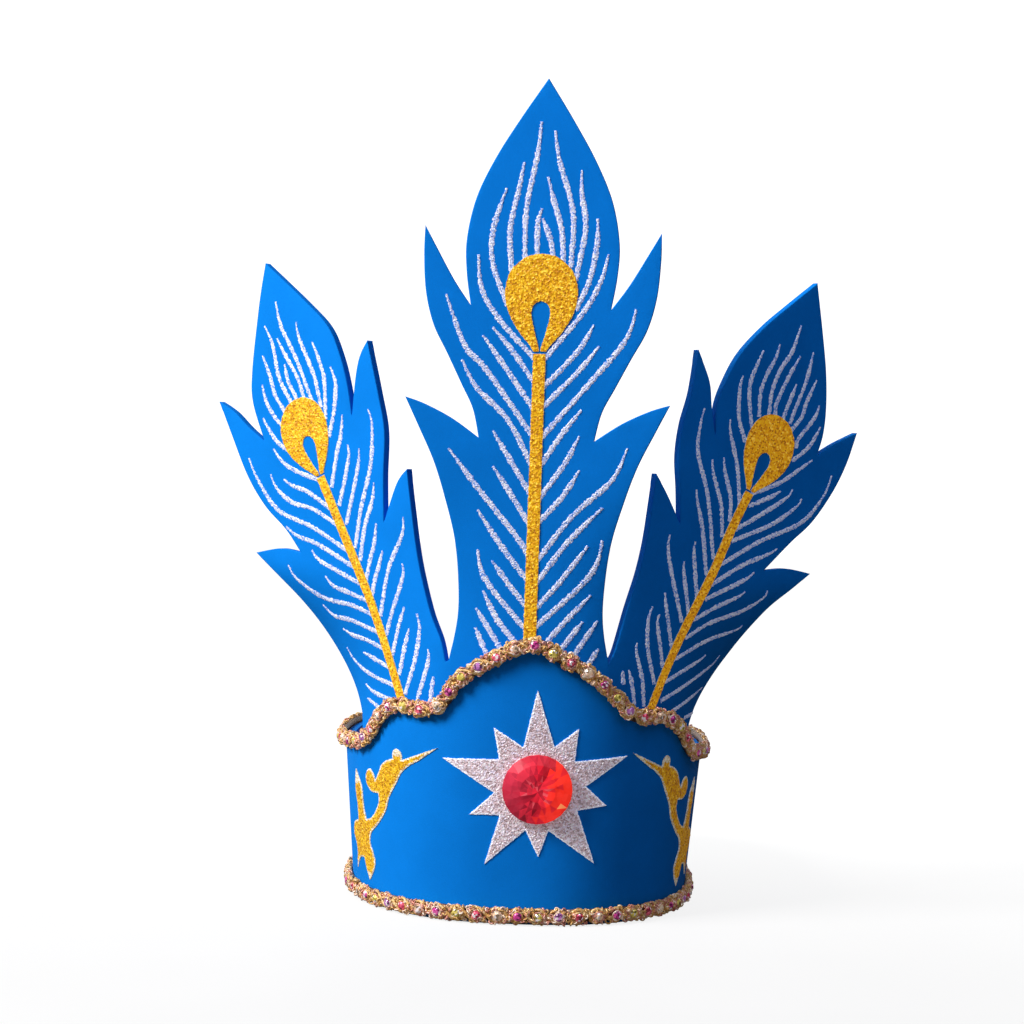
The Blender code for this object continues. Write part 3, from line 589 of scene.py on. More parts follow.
def crossed(a, b):
    """The product a x b of flat vectors."""
    return a[..., 0] * b[..., 1] - a[..., 1] * b[..., 0]


def inward(loop, loops, radius):
    """How far in and which way each point of a loop moves to round the piece's edge."""
    run = unit(np.roll(loop, -1, axis=0) - np.roll(loop, 1, axis=0))
    normal = np.stack([-run[:, 1], run[:, 0]], axis=1)
    starts, ends = sides_of(loops)
    side = (ends - starts)[None, :, :]
    offset = starts[None, :, :] - loop[:, None, :]
    bottom = crossed(normal[:, None, :], side)
    bottom = np.where(np.abs(bottom) < 1e-12, 1e-12, bottom)
    reach = crossed(offset, side) / bottom
    share = crossed(offset, normal[:, None, :]) / bottom
    hit = (share >= 0.0) & (share <= 1.0) & (reach > 1e-5)
    width = np.min(np.where(hit, reach, 1.0), axis=1)
    for step in (1, -1, 2, -2):
        width = np.minimum(width, np.roll(width, step))
    return normal, np.minimum(radius, 0.3 * width)


def net(loops, spacing, margin, seed):
    """Jittered points on a triangular net within the loops."""
    rng = np.random.default_rng(seed)
    every = np.concatenate(loops)
    low, high = every.min(axis=0), every.max(axis=0)
    rows = np.arange(low[1], high[1], spacing * 0.87)
    columns = np.arange(low[0], high[0], spacing)
    x = columns[None, :] + (np.arange(len(rows)) % 2)[:, None] * spacing / 2
    y = rows[:, None] + 0 * x
    points = np.stack([x.ravel(), y.ravel()], axis=1)
    points += rng.uniform(-0.22, 0.22, points.shape) * spacing
    points = points[inside(points, loops)]
    return points[from_edge(points, loops) > margin]


def triangles(rim, inner, loops):
    """Triangles over the rim points and the inner ones, the rim being joined in loops."""
    scale = 1.0 / MM
    points = np.concatenate([rim, inner]) if len(inner) else rim
    edges = []
    start = 0
    for loop in loops:
        count = len(loop)
        edges += [(start + i, start + (i + 1) % count) for i in range(count)]
        start += count
    out = delaunay_2d_cdt([Vector(p * scale) for p in points], edges, [], 1, 1e-5, True)
    places = np.array([(v.x, v.y) for v in out[0]]) / scale
    owner = [ids[0] if len(ids) else -1 for ids in out[3]]
    faces = np.array([face for face in out[2] if len(face) == 3])
    keep = inside(places[faces].mean(axis=1), loops)
    return places, owner, faces[keep]


def new_mesh(name, coords, faces, materials, indices=None, smooth=True):
    """A mesh object from points and faces."""
    mesh = bpy.data.meshes.new(name)
    mesh.from_pydata([tuple(p) for p in coords], [], [tuple(int(i) for i in f) for f in faces])
    for material in materials:
        mesh.materials.append(material)
    if indices is not None:
        mesh.polygons.foreach_set("material_index", np.asarray(indices, np.int32))
    mesh.polygons.foreach_set("use_smooth", np.full(len(mesh.polygons), smooth))
    mesh.update()
    body = bpy.data.objects.new(name, mesh)
    bpy.context.scene.collection.objects.link(body)
    return body


def tube_faces(rows, columns, flip):
    """Four-cornered faces of a closed ring of closed rows of points."""
    faces = []
    for i in range(rows):
        j = (i + 1) % rows
        for k in range(columns):
            m = (k + 1) % columns
            near, far = (i * columns + k, j * columns + k), (j * columns + m, i * columns + m)
            faces.append((near[0], far[1], far[0], near[1]) if flip else near + far)
    return faces


def plate(name, loops, sheet, front, back, materials, radius=0.0, spacing=3.0 * MM,
          relief=0.0, pale=0.0, spots=(), seed=1):
    """A flat piece cut on the unrolled sheet and bent round the head.

    The first material is on its faces and the second on its cut edge, on a strip as wide as
    pale inside the outline and on round spots given by place and radius. With relief, the
    front stands up in small uneven grains and the outline is a little ragged.
    """
    rng = np.random.default_rng(seed)
    loops = [turned(loop, i == 0) for i, loop in enumerate(loops)]
    if relief:
        loops = [loop + rng.uniform(-RAGGED, RAGGED, loop.shape) for loop in loops]
    moves = [inward(loop, loops, radius) for loop in loops]
    rounds = [share * pi / 2 for share in ((0.0, 0.5, 1.0) if radius else (1.0,))]
    levels = [(angle, True) for angle in rounds] + [(angle, False) for angle in rounds[::-1]]
    flat, depths, faces, kinds, rings = [], [], [], [], []
    for angle, ahead in levels:
        ring = []
        for loop, (normal, amount) in zip(loops, moves):
            first = len(flat)
            flat += list(loop + normal * (amount * (1.0 - sin(angle)))[:, None])
            sunk = amount * (1.0 - cos(angle))
            if ahead:
                depths += list(front + (sunk if radius else relief + 0.0 * sunk))
            else:
                depths += list(back - sunk)
            ring.append(np.arange(first, first + len(loop)))
        rings.append(ring)
    for near, far in zip(rings, rings[1:]):
        for a, b in zip(near, far):
            faces += zip(a, b, np.roll(b, -1), np.roll(a, -1))
            kinds += [1] * len(a)
    for ring, ahead in ((rings[0], True), (rings[-1], False)):
        ids = np.concatenate(ring)
        cap_loops = [np.array([flat[i] for i in loop]) for loop in ring]
        inner = np.zeros((0, 2))
        if ahead or not relief:
            inner = net(cap_loops, spacing, spacing * 0.55, seed)
        places, owner, cap = triangles(np.concatenate(cap_loops), inner, cap_loops)
        index = []
        for place, source in zip(places, owner):
            if 0 <= source < len(ids):
                index.append(ids[source])
                continue
            index.append(len(flat))
            flat.append(place)
            depths.append(front + rng.uniform(0.0, relief) if ahead else back)
        cap = np.array(index)[cap]
        faces += [tuple(f) if ahead else tuple(f[::-1]) for f in cap]
        middle = np.array(flat)[cap].mean(axis=1)
        near = from_edge(middle, loops) < pale if pale else np.zeros(len(cap), bool)
        for x, z, reach in spots:
            near |= np.hypot(middle[:, 0] - x, middle[:, 1] - z) < reach
        kinds += [1 if edge else 0 for edge in near]
    flat, depths = np.array(flat), np.array(depths)
    coords = on_head(flat[:, 0], flat[:, 1], depths, sheet)
    return new_mesh(name, coords, faces, materials, kinds, smooth=not relief)


def band_ring(name, materials):
    """The band as a closed ring with softly rounded cut edges."""
    count, rows = 420, 22
    radius = 0.6 * MM
    along = np.linspace(-HALF_ROUND, HALF_ROUND, count, endpoint=False)
    top = band_top_height(along)
    # Round the section: share of the height, of the edge's turn, of the depth; on a cut edge
    climb = [i / rows for i in range(rows + 1)]
    profile = [(share, 0.0, 0.0, 0) for share in climb]
    profile += [(1.0, share, 0.0, 1) for share in (0.33, 0.67, 1.0)]
    profile += [(1.0, share, 1.0, 1) for share in (0.67, 0.33, 0.0)]
    profile += [(share, 0.0, 1.0, 0) for share in climb[::-1]]
    profile += [(0.0, share, 1.0, 1) for share in (0.33, 0.67, 1.0)]
    profile += [(0.0, share, 0.0, 1) for share in (0.67, 0.33)]
    coords = []
    for height_share, turn, deep, _ in profile:
        angle = turn * pi / 2
        low, high = radius, top - radius
        height = low + (high - low) * height_share
        height = height + (radius if height_share == 1.0 else -radius) * sin(angle) * (turn > 0)
        sunk = radius * (1.0 - cos(angle))
        depth = sunk if deep == 0.0 else FOAM - sunk
        coords.append(on_head(along, height, depth + np.zeros(count), "band"))
    kinds = [row[3] for row in profile]
    indices = [max(pair) for pair in zip(kinds, kinds[1:] + kinds[:1]) for _ in range(count)]
    faces = tube_faces(len(profile), count, True)
    return new_mesh(name, np.concatenate(coords), faces, materials, indices)


def barb_strips(name, barbs, place, mirror, half_width, material, seed):
    """Tapered glitter strokes on the feather sheet, each a closed sliver of uneven grains."""
    rng = np.random.default_rng(seed)
    coords, faces = [], []
    lanes = len(BARB_LANES)
    for barb in barbs:
        line = smooth_run(
            [place(x * MM, z * MM) for x, z in zip(barb[::2], barb[1::2])], 0.3 * MM,
        )
        line = np.array(line)
        if mirror:
            line[:, 0] = -line[:, 0]
        ahead = line[-1] - line[-4]
        line = np.vstack([line, line[-1] + ahead / np.linalg.norm(ahead) * BARB_TAIL])
        run = distances(line)
        count = max(4, int(run[-1] / GLITTER_GRAIN) + 1)
        even = np.linspace(0.0, run[-1], count)
        line = np.stack([np.interp(even, run, line[:, k]) for k in (0, 1)], axis=1)
        along = unit(np.gradient(line, axis=0))
        left = np.stack([-along[:, 1], along[:, 0]], axis=1)
        share = even / run[-1]
        width = half_width * (0.4 + 0.6 * eased(share, 0.0, 0.32)) * (1 - 0.1 * share)
        width = width * rng.uniform(0.74, 1.2, count)
        base = len(coords)
        for i in range(count):
            for lane in BARB_LANES:
                wobble = rng.uniform(-0.16, 0.16, 2) * half_width
                point = line[i] + left[i] * (lane * width[i]) + wobble
                rise = 0.0 if abs(lane) == 1.0 else rng.uniform(0.25, 1.0)
                coords.append((*point, PANEL_FRONT - UNDERSIDE - rise * BARB_RISE))
        for row in range(base, base + (count - 1) * lanes, lanes):
            faces += [(a, a + lanes, a + lanes + 1, a + 1) for a in range(row, row + lanes - 1)]
            faces.append((row, row + lanes - 1, row + 2 * lanes - 1, row + lanes))
        faces.append(tuple(range(base, base + lanes)))
        faces.append(tuple(range(base + (count - 1) * lanes, base + count * lanes))[::-1])
    coords = np.array(coords)
    places = on_head(coords[:, 0], coords[:, 1], coords[:, 2], "feather")
    return new_mesh(name, places, faces, [material], smooth=False)


class Route:
    """A closed line round the head with tangent, outward and width axes at every place."""

    def __init__(self, height_at):
        dense = np.linspace(-HALF_ROUND, HALF_ROUND, 2401)
        heights = height_at(dense)
        self.line = line = on_head(dense, heights, -GAP + np.zeros_like(dense), "band")
        self.run = distances(line)
        self.length = float(self.run[-1])
        self.count = round(self.length / STONE_PITCH)
        self.pitch = self.length / self.count
        tangent = np.gradient(line, axis=0)
        tangent[0] = tangent[-1] = line[1] - line[-2]
        tangent = unit(tangent)
        heading = np.interp(np.abs(dense), ARC, ARC_HEADING) * np.sign(dense)
        out = np.stack([np.sin(heading), -np.cos(heading), np.full_like(heading, -FLARE)], axis=1)
        wide = unit(np.cross(unit(out), tangent))
        self.axes = (tangent, wide, np.cross(tangent, wide))

    def axes_at(self, along):
        """Place and the three axes at distances along the line."""
        at = np.mod(along, self.length)
        pick = [np.stack([np.interp(at, self.run, t[:, k]) for k in range(3)], axis=1)
                for t in (self.line, *self.axes)]
        return pick[0], [unit(axis) for axis in pick[1:]]

    def points(self, along, across, away):
        """Points given along the line, across it and out of it."""
        place, (_, wide, out) = self.axes_at(along)
        return place + wide * across[:, None] + out * away[:, None]


def rope(line, radius, sides, lobes, lay, up):
    """A closed laid cord: its section has lobes that turn once in each length of lay."""
    ahead = unit(np.roll(line, -1, axis=0) - np.roll(line, 1, axis=0))
    right = unit(np.cross(ahead, up))
    top = np.cross(right, ahead)
    angle = np.arange(sides) * 2 * pi / sides
    swell = 1.0 + 0.22 * np.cos(lobes * (angle[None, :] - 2 * pi * distances(line)[:, None] / lay))
    reach = radius[:, None] * swell
    ring = (reach * np.cos(angle))[:, :, None] * right[:, None, :]
    ring = ring + (reach * np.sin(angle))[:, :, None] * top[:, None, :]
    coords = (line[:, None, :] + ring).reshape(-1, 3)
    return coords, tube_faces(len(line), sides, False)


def gathered(pieces):
    """Several lists of points and faces as one, with the material of each."""
    coords, faces, indices = [], [], []
    total = 0
    for points, sides, index in pieces:
        coords.append(np.asarray(points))
        faces += [tuple(int(i) + total for i in side) for side in sides]
        indices += [index] * len(sides)
        total += len(points)
    return np.concatenate(coords), faces, indices


def wire_loops(route, s, rng):
    """Small wire loops heaped every way round one stone's seat, which stays clear."""
    turn = 2 * pi * np.arange(LOOP_POINTS) / LOOP_POINTS
    heap = []
    for _ in range(LOOPS_A_STONE):
        size = rng.uniform(*LOOP_SIZE)
        along = rng.uniform(-0.5, 0.5) * route.pitch
        across = rng.uniform(-1.0, 1.0) * LOOP_SPREAD
        push = max(1.0, SEAT_CLEAR / max(hypot(along, across), 0.3 * MM))
        along, across = along * push, across * push
        reach = LOBE_REACH - LOBE_DIP * (2.0 * along / route.pitch) ** 2 - 0.7 * size
        across = np.clip(across, -reach, reach)
        rise = HEAP_RISE_MM - HEAP_CROWN_MM * (across / MM) ** 2 + rng.uniform(-0.9, 0.35)
        normal = unit(rng.normal(size=3))
        first = unit(np.cross(normal, (0.31, 0.87, 0.39)))
        second = np.cross(normal, first) * rng.uniform(0.6, 1.0)
        ring = size * (np.cos(turn)[:, None] * first + np.sin(turn)[:, None] * second)
        at = s + along + ring[:, 0]
        away = np.clip(rise * MM + ring[:, 2], *LOOP_HEIGHTS)
        beside = np.maximum(across + ring[:, 1], -EDGE_REACH)
        line = route.points(at, beside, away)
        up = sum(axis * part for axis, part in zip(route.axes_at(at)[1], normal))
        wire = LOOP_WIRE * rng.uniform(0.85, 1.2) + np.zeros(LOOP_POINTS)
        heap.append(rope(line, wire, 4, 0, MM, up))
    return heap


def braid_cord(name, route, materials, seed):
    """A heap of small wire loops round every stone, a bezel cord inside it, two cords that
    weave from stone to stone, and a woven strip behind them, dark with painted shade."""
    rng = np.random.default_rng(seed)
    pieces = []
    turns = route.count
    angle = np.arange(BEZEL_POINTS) * 2 * pi / BEZEL_POINTS
    for i in range(turns):
        for points, faces in wire_loops(route, i * route.pitch, rng):
            pieces.append((points, faces, int(rng.choice(3, p=(0.45, 0.37, 0.18)))))
        s = i * route.pitch + BEZEL_RADIUS * np.cos(angle)
        away = BEZEL_RISE + rng.uniform(-0.15, 0.15) * MM + 0.2 * MM * np.cos(3 * angle)
        line = route.points(s, BEZEL_WIDTH * np.sin(angle), away)
        wire = np.full(BEZEL_POINTS, BEZEL_WIRE)
        pieces.append((*rope(line, wire, 5, 2, 1.3 * MM, route.axes_at(s)[1][2]), i % 3))

    # With an odd number of stones, one cord goes round twice and takes up both places
    laps = 1 + turns % 2
    samples = turns * WEAVE_POINTS * laps
    s = np.arange(samples) * route.length * laps / samples
    phase = pi * s / route.pitch
    for hand in (1.0, -1.0)[:3 - laps]:
        across = hand * WEAVE_REACH * np.cos(phase)
        away = WEAVE_RISE[0] + hand * WEAVE_RISE[1] * np.sin(phase)
        wire = WEAVE_WIRE * (1.0 + 0.12 * np.sin(5.0 * phase))
        line = route.points(s, across, away)
        pieces.append((*rope(line, wire, 6, 2, 2.6 * MM, route.axes_at(s)[1][2]), 0))

    samples = turns * 4
    s = np.arange(samples) * route.length / samples
    # the strip behind the loops, coloured dark brown as painted shade in the gaps between them
    corners = ((-2.8, 0.1), (2.8, 0.1), (2.5, 1.1), (-2.5, 1.1))
    rows = [route.points(s, np.full(samples, a * MM), np.full(samples, o * MM)) for a, o in corners]
    points = np.stack(rows, axis=1).reshape(-1, 3)
    pieces.append((points, tube_faces(samples, 4, True), 3))
    coords, faces, indices = gathered(pieces)
    return new_mesh(name, coords, faces, materials, indices)


def stone_ring(radius, height, count, shift, ripple=0.0):
    """Points of a cut stone's ring, turned by a share of a facet; sizes in mm."""
    ring = []
    for i in range(count):
        angle = 2 * pi * (i + shift) / count
        rise = height + ripple * (1 if i % 2 else -1)
        ring.append((radius * MM * cos(angle), radius * MM * sin(angle), rise * MM))
    return ring


def small_stone():
    """Points and faces of a round cut stone 3.9 mm across, its table upward."""
    n = 10
    points = []
    for radius, height, shift in ((1.6, 0, 0.5), (1.95, 0.5, 0), (1.95, 0.7, 0), (1.1, 1.5, 0.5)):
        points += stone_ring(radius, height, n, shift)
    faces = [tuple(range(n))[::-1], tuple(range(3 * n, 4 * n))]
    for i in range(n):
        j = (i + 1) % n
        faces += [
            (i, j, n + i), (j, n + j, n + i), (n + i, n + j, 2 * n + j, 2 * n + i),
            (2 * n + i, 2 * n + j, 3 * n + i), (2 * n + j, 3 * n + j, 3 * n + i),
        ]
    return np.array(points), faces


def braid_stones(name, route, materials, seed):
    """A cut stone in every bezel of a braid, the colours in turn."""
    rng = np.random.default_rng(seed)
    points, sides = small_stone()
    pieces = []
    for i in range(route.count):
        place, axes = route.axes_at(np.array([i * route.pitch]))
        tangent, wide, out = (axis[0] for axis in axes)
        spin = rng.uniform(0.0, pi)
        tilt = rng.uniform(-0.12, 0.12, 2)
        normal = unit(out + tangent * tilt[0] + wide * tilt[1])
        first = tangent * cos(spin) + wide * sin(spin)
        first = unit(first - normal * np.dot(first, normal))
        axes = np.array([first, np.cross(normal, first), normal])
        centre = place[0] + out * STONE_SEAT + wide * rng.uniform(-0.3, 0.3) * MM
        pieces.append((centre + points @ axes, sides, i % len(BRAID_STONES)))
    coords, faces, indices = gathered(pieces)
    return new_mesh(name, coords, faces, materials, indices, smooth=False)


def stone_frame():
    """Place and axes of the big stone's seat."""
    along, height = (np.array([value]) for value in STONE_CENTRE)
    spot = on_head(along, height, np.array([-GAP - GLITTER_PROUD]), "band")
    heading = float(np.interp(STONE_CENTRE[0], ARC, ARC_HEADING))
    out = Vector((sin(heading), -cos(heading), -FLARE)).normalized()
    across = Vector((cos(heading), sin(heading), 0.0))
    up = out.cross(across).normalized()
    axes = Matrix((across, up, out)).transposed().to_4x4()
    return Matrix.Translation(Vector(spot[0])) @ axes


def big_stone(name, materials):
    """The large round stone: a burst of narrow facets at its middle, rings of crown facets
    round it, and rim facets down to the girdle. Materials go by tone, and the tones paint
    light and shade on the facets."""
    rng = np.random.default_rng(12)
    points, faces, tones, rings = [], [], [], []
    for radius, height, count, shift, ripple in BIG_STONE_RINGS:
        rings.append(list(range(len(points), len(points) + count)))
        points += stone_ring(radius, height, count, shift, ripple)
    (centre,), burst, inner, table, crown, girdle, lower, foot = rings

    def facet(tone, *corners):
        faces.append(corners)
        tones.append(tone)

    # painted highlights and shade in the middle: mixed tones with an odd glint facet
    lively = ("rose", "ruby", "crimson", "ruby", "crimson", "ruby", "glint")
    for i in range(12):
        j = (i + 1) % 12
        facet(lively[rng.integers(0, 7)], centre, burst[i], burst[j])
        facet(lively[rng.integers(0, 7)], burst[i], inner[2 * i], burst[j])
        facet(lively[rng.integers(0, 7)], inner[2 * i], inner[2 * i + 1], burst[j])
        facet(lively[rng.integers(0, 6)], inner[2 * i - 1], inner[2 * i], burst[i])
    for i in range(24):
        j = (i + 1) % 24
        rim_tone, crown_tone = STONE_TONES[i // 2]
        stray = lively[rng.integers(0, 6)]
        facet(crown_tone if i % 3 else stray, inner[i], table[i], table[j])
        facet(crown_tone if i % 4 else "glint", inner[i], table[j], inner[j])
        facet(crown_tone, table[i], crown[i], table[j])
        facet(stray if i % 5 == 0 else rim_tone, table[j], crown[i], crown[j])
        # one rim facet at the lower right is a painted orange highlight
        facet("flame" if i == 22 else rim_tone, crown[i - 1], girdle[i], crown[i])
        facet(rim_tone if i % 2 else crown_tone, crown[i], girdle[i], girdle[j])
        facet(rim_tone, girdle[i], lower[i], lower[j], girdle[j])
        facet("deep", lower[i], foot[i], foot[j], lower[j])
    facet("deep", *foot[::-1])
    order = list(materials)
    body = new_mesh(name, points, faces, list(materials.values()),
                    [order.index(tone) for tone in tones], smooth=False)
    body.data.transform(stone_frame())
    return body


def wired(tree, node, inputs):
    """The node, its inputs set to numbers or linked to sockets."""
    for key, value in inputs.items():
        if isinstance(value, bpy.types.NodeSocket):
            tree.links.new(value, node.inputs[key])
        else:
            node.inputs[key].default_value = value
    return node


def map_range(tree, value, limits, smooth=True):
    """Value mapped from between the first two limits to between the last two."""
    node = tree.nodes.new("ShaderNodeMapRange")
    node.interpolation_type = "SMOOTHSTEP" if smooth else "LINEAR"
    keys = ("From Min", "From Max", "To Min", "To Max")
    return wired(tree, node, {**dict(zip(keys, limits)), "Value": value}).outputs["Result"]


class Paint:
    """A node material on top of a Principled shader."""

    def __init__(self, name, **values):
        self.material = bpy.data.materials.new(name)
        self.material.use_nodes = True
        self.tree = self.material.node_tree
        self.shader = self.tree.nodes["Principled BSDF"]
        self.set(**values)
        self.place = self.node("TexCoord").outputs["Object"]

    def node(self, kind, **inputs):
        """A new node, its inputs set to numbers or linked to sockets."""
        return wired(self.tree, self.tree.nodes.new("ShaderNode" + kind), inputs)

    def noise(self, scale, detail=2.0, rough=0.5, distortion=0.0):
        """Noise in the object's own space."""
        node = self.node("TexNoise", Vector=self.place, Scale=scale, Detail=detail,
                         Roughness=rough, Distortion=distortion)
        return node.outputs["Fac"]

    def cells(self, scale, output="Distance"):
        """Voronoi cells in the object's own space."""
        return self.node("TexVoronoi", Vector=self.place, Scale=scale).outputs[output]

    def flakes(self, scale):
        """A random number for each cell."""
        return self.node("SeparateColor", Color=self.cells(scale, "Color")).outputs["Red"]

    def ramp(self, value, stops, stepped=False):
        """Colours by value."""
        node = self.node("ValToRGB", Fac=value)
        node.color_ramp.interpolation = "CONSTANT" if stepped else "LINEAR"
        elements = node.color_ramp.elements
        while len(elements) < len(stops):
            elements.new(0.5)
        for element, (at, colour) in zip(elements, stops):
            element.position = at
            element.color = (*colour, 1.0)
        return node.outputs["Color"]

    def mix(self, share, first, second, kind="MIX"):
        """Two colours mixed."""
        node = self.node("Mix")
        node.data_type = "RGBA"
        node.blend_type = kind
        wired(self.tree, node, {"Factor": share, "A": first, "B": second})
        return node.outputs["Result"]

    def span(self, value, low, high):
        """Value mapped from 0..1 to low..high."""
        return map_range(self.tree, value, (0.0, 1.0, low, high), smooth=False)

    def climb(self, axis, *limits):
        """A smooth change along one axis: its start and end, its first and last value."""
        split = self.node("SeparateXYZ", Vector=self.place)
        return map_range(self.tree, split.outputs[axis], limits)

    def bump(self, value, distance, strength, **under):
        """A bump from a value; under is the Normal below it."""
        node = self.node("Bump", Height=value, Distance=distance, Strength=strength, **under)
        return node.outputs["Normal"]

    def set(self, **inputs):
        """The material, its shader's inputs set to numbers or linked to sockets."""
        named = {key.replace("_", " "): value for key, value in inputs.items()}
        wired(self.tree, self.shader, named)
        return self.material


def scaled(colour, factor, added=0.0):
    """A colour made lighter or darker."""
    return tuple(min(1.0, c * factor + added) for c in colour)


def foam_material(name, base, coarse):
    """Fine-celled craft foam: mottled and pored, coarser on cut edges, with painted shade darkening
    the pores.
    """
    paint = Paint(name, Specular_IOR_Level=0.05)
    dark, light = scaled(base, 0.84), scaled(base, 1.08, 0.001)
    cloud = paint.ramp(paint.noise(38.0, 3.0, 0.55), ((0.3, dark), (0.72, light)))
    grain = paint.ramp(paint.noise(2300.0, 2.0, 0.6), ((0.3, dark), (0.7, light)))
    colour = paint.mix(0.45, cloud, grain)
    pores = paint.cells(1500.0 if coarse else 2100.0)
    # painted shade: the pores are darker in the colour as well as dented by the bump
    painted_pore_shade = paint.ramp(pores, ((0.0, scaled(base, 0.72)), (0.32, base)))
    colour = paint.mix(0.35 if coarse else 0.22, colour, painted_pore_shade)
    rough = paint.span(paint.noise(60.0, 2.0), 0.7, 0.86)
    normal = paint.bump(pores, 0.00012 if coarse else 0.00006, 0.5)
    normal = paint.bump(paint.noise(420.0, 3.0), 0.00012, 0.3, Normal=normal)
    return paint.set(Base_Color=colour, Roughness=rough, Normal=normal)


def glitter_material(name, stops, glow, grains, tint=(1.0, 1.0, 1.0)):
    """Glitter flakes, so many to a metre: every grain has its own tone, tilt and gloss.

    The glow stands in for the room that the flakes mirror, and the tint is the room's.
    """
    paint = Paint(name, Specular_IOR_Level=0.3, Emission_Strength=glow)
    flakes = paint.flakes(grains)
    colour = paint.ramp(flakes, stops, stepped=True)
    ends = ((0.25, stops[0][1]), (0.75, stops[-2][1]))
    colour = paint.mix(0.2, colour, paint.ramp(paint.noise(grains / 2, 2.0, 0.6), ends))
    rough = paint.span(flakes, 0.25, 0.6)
    normal = paint.bump(paint.cells(grains), 0.0003, 0.8)
    room = paint.ramp(flakes, ((0.0, tint), (0.5, tint)))
    mirrored = paint.mix(1.0, colour, room, "MULTIPLY")
    return paint.set(Base_Color=colour, Emission_Color=mirrored, Roughness=rough, Normal=normal)


def cord_material(name, stops, glow):
    """Metallic thread: tones that change every millimetre, flecks of which the near-white ones are
    painted glints, and a fine wrapped thread.

    The glow is a painted reflection of the room that shiny thread mirrors.
    """
    paint = Paint(name, Metallic=0.2, Specular_IOR_Level=0.6, Emission_Strength=glow)
    colour = paint.ramp(paint.noise(620.0, 3.0, 0.7, 0.4), stops)
    # flecks at random: mostly dark, some light, and a few near-white ones that are painted glints
    fleck_and_glint_stops = ((0.0, stops[0][1]), (0.78, stops[-2][1]), (0.9, stops[-1][1]))
    flecks_and_glints = paint.ramp(paint.flakes(1600.0), fleck_and_glint_stops, stepped=True)
    colour = paint.mix(0.35, colour, flecks_and_glints)
    rough = paint.span(paint.noise(1400.0, 2.0), 0.2, 0.5)
    normal = paint.bump(paint.noise(2600.0, 2.0, 0.7, 1.2), 0.0002, 0.7)
    return paint.set(Base_Color=colour, Emission_Color=colour, Roughness=rough, Normal=normal)


def small_stone_material(name, base):
    """Foil-backed cut stone, its facets mottled with painted glints of the foil and painted shade,
    and a faint painted glow.
    """
    # a faint painted glow: the stone gives off a little light in its own colours
    paint = Paint(name, Metallic=0.3, Roughness=0.18, IOR=1.6, Coat_Weight=0.4,
                  Coat_Roughness=0.08, Emission_Strength=0.16)
    # painted shade and painted glints: a dark tone and a near-white tone on random facets
    colour = paint.ramp(paint.flakes(950.0), (
        (0.0, scaled(base, 0.3)), (0.3, base), (0.66, scaled(base, 1.2, 0.08)),
        (0.84, (1.0, 0.88, 0.9)),
    ), stepped=True)
    return paint.set(Base_Color=colour, Emission_Color=colour)


def big_stone_material(name, base, glow):
    """Foil-backed red acrylic of one tone, painted in cells and clouds with painted reflections of
    the facets behind, and painted darker on the left and brighter on the right.

    The glow is a painted reflection, the light that the foil sends back.
    """
    paint = Paint(name, Roughness=0.25, IOR=1.49, Specular_IOR_Level=0.14,
                  Emission_Strength=glow)
    dark, light = scaled(base, 0.62), scaled(base, 1.25, 0.01)
    behind = ((0.0, dark), (0.3, base), (0.72, light))
    facets = paint.ramp(paint.flakes(330.0), behind, stepped=True)
    cloud = paint.ramp(paint.noise(160.0, 2.0), ((0.35, dark), (0.7, light)))
    colour = paint.mix(0.5, facets, cloud)
    # painted light and shade: dark crimson on the left of the stone, bright red on the right
    painted_light_sweep = paint.ramp(paint.climb("X", -0.009, 0.021, 0.0, 1.0), (
        (0.0, (0.56, 0.04, 0.08)), (0.45, (0.62, 0.014, 0.03)), (1.0, (0.95, 0.03, 0.014)),
    ))
    colour = paint.mix(0.1 if name == "red_flame" else 0.4, colour, painted_light_sweep)
    return paint.set(Base_Color=colour, Emission_Color=colour)


def floor_material():
    """Pale matt floor that brightens into the white surroundings behind the headdress."""
    paint = Paint("pale_floor", Roughness=0.9, Specular_IOR_Level=0.1,
                  Emission_Color=(1.0, 1.0, 1.0, 1.0))
    greys = ((0.3, (0.11, 0.11, 0.11)), (0.7, (0.13, 0.13, 0.13)))
    colour = paint.ramp(paint.noise(6.0, 2.0), greys)
    return paint.set(Base_Color=colour, Emission_Strength=paint.climb("Y", -0.3, 0.45, 0.8, 1.0))


def fixed(piece, slot, *nodes):
    """Ride the piece on the part and hide the parts it replaces; the slot is not used."""
    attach(piece, "root")
    if nodes:
        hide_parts(*nodes)


def even_faces(piece):
    """Shade broad faces flat beside their rounded edges."""
    weighted = piece.modifiers.new("face_weights", "WEIGHTED_NORMAL")
    weighted.mode = "FACE_AREA"
    weighted.weight = 80
    weighted.keep_sharp = False


def make_foam():
    """The band and the feather sheet."""
    blue = (0.001, 0.22, 0.8)
    foam = foam_material("blue_foam_face", blue, False)
    # the cut edges are the face blue a little darker, as painted shade, with coarser and more
    # shaded pores
    cut = foam_material("blue_foam_cut_shaded", scaled(blue, 0.92), True)
    band = band_ring("crown_foam", [foam, cut])
    sheet = plate(
        "feather_foam", [divided(feather_sheet_loop(1.3 * MM), 1.5 * MM)], "feather",
        PANEL_FRONT, PANEL_BACK, [foam, cut], radius=0.45 * MM, spacing=3.2 * MM,
    )
    for piece, node in ((band, "crown_band"), (sheet, "feather_panel")):
        even_faces(piece)
        fixed(piece, "blue_foam", node)


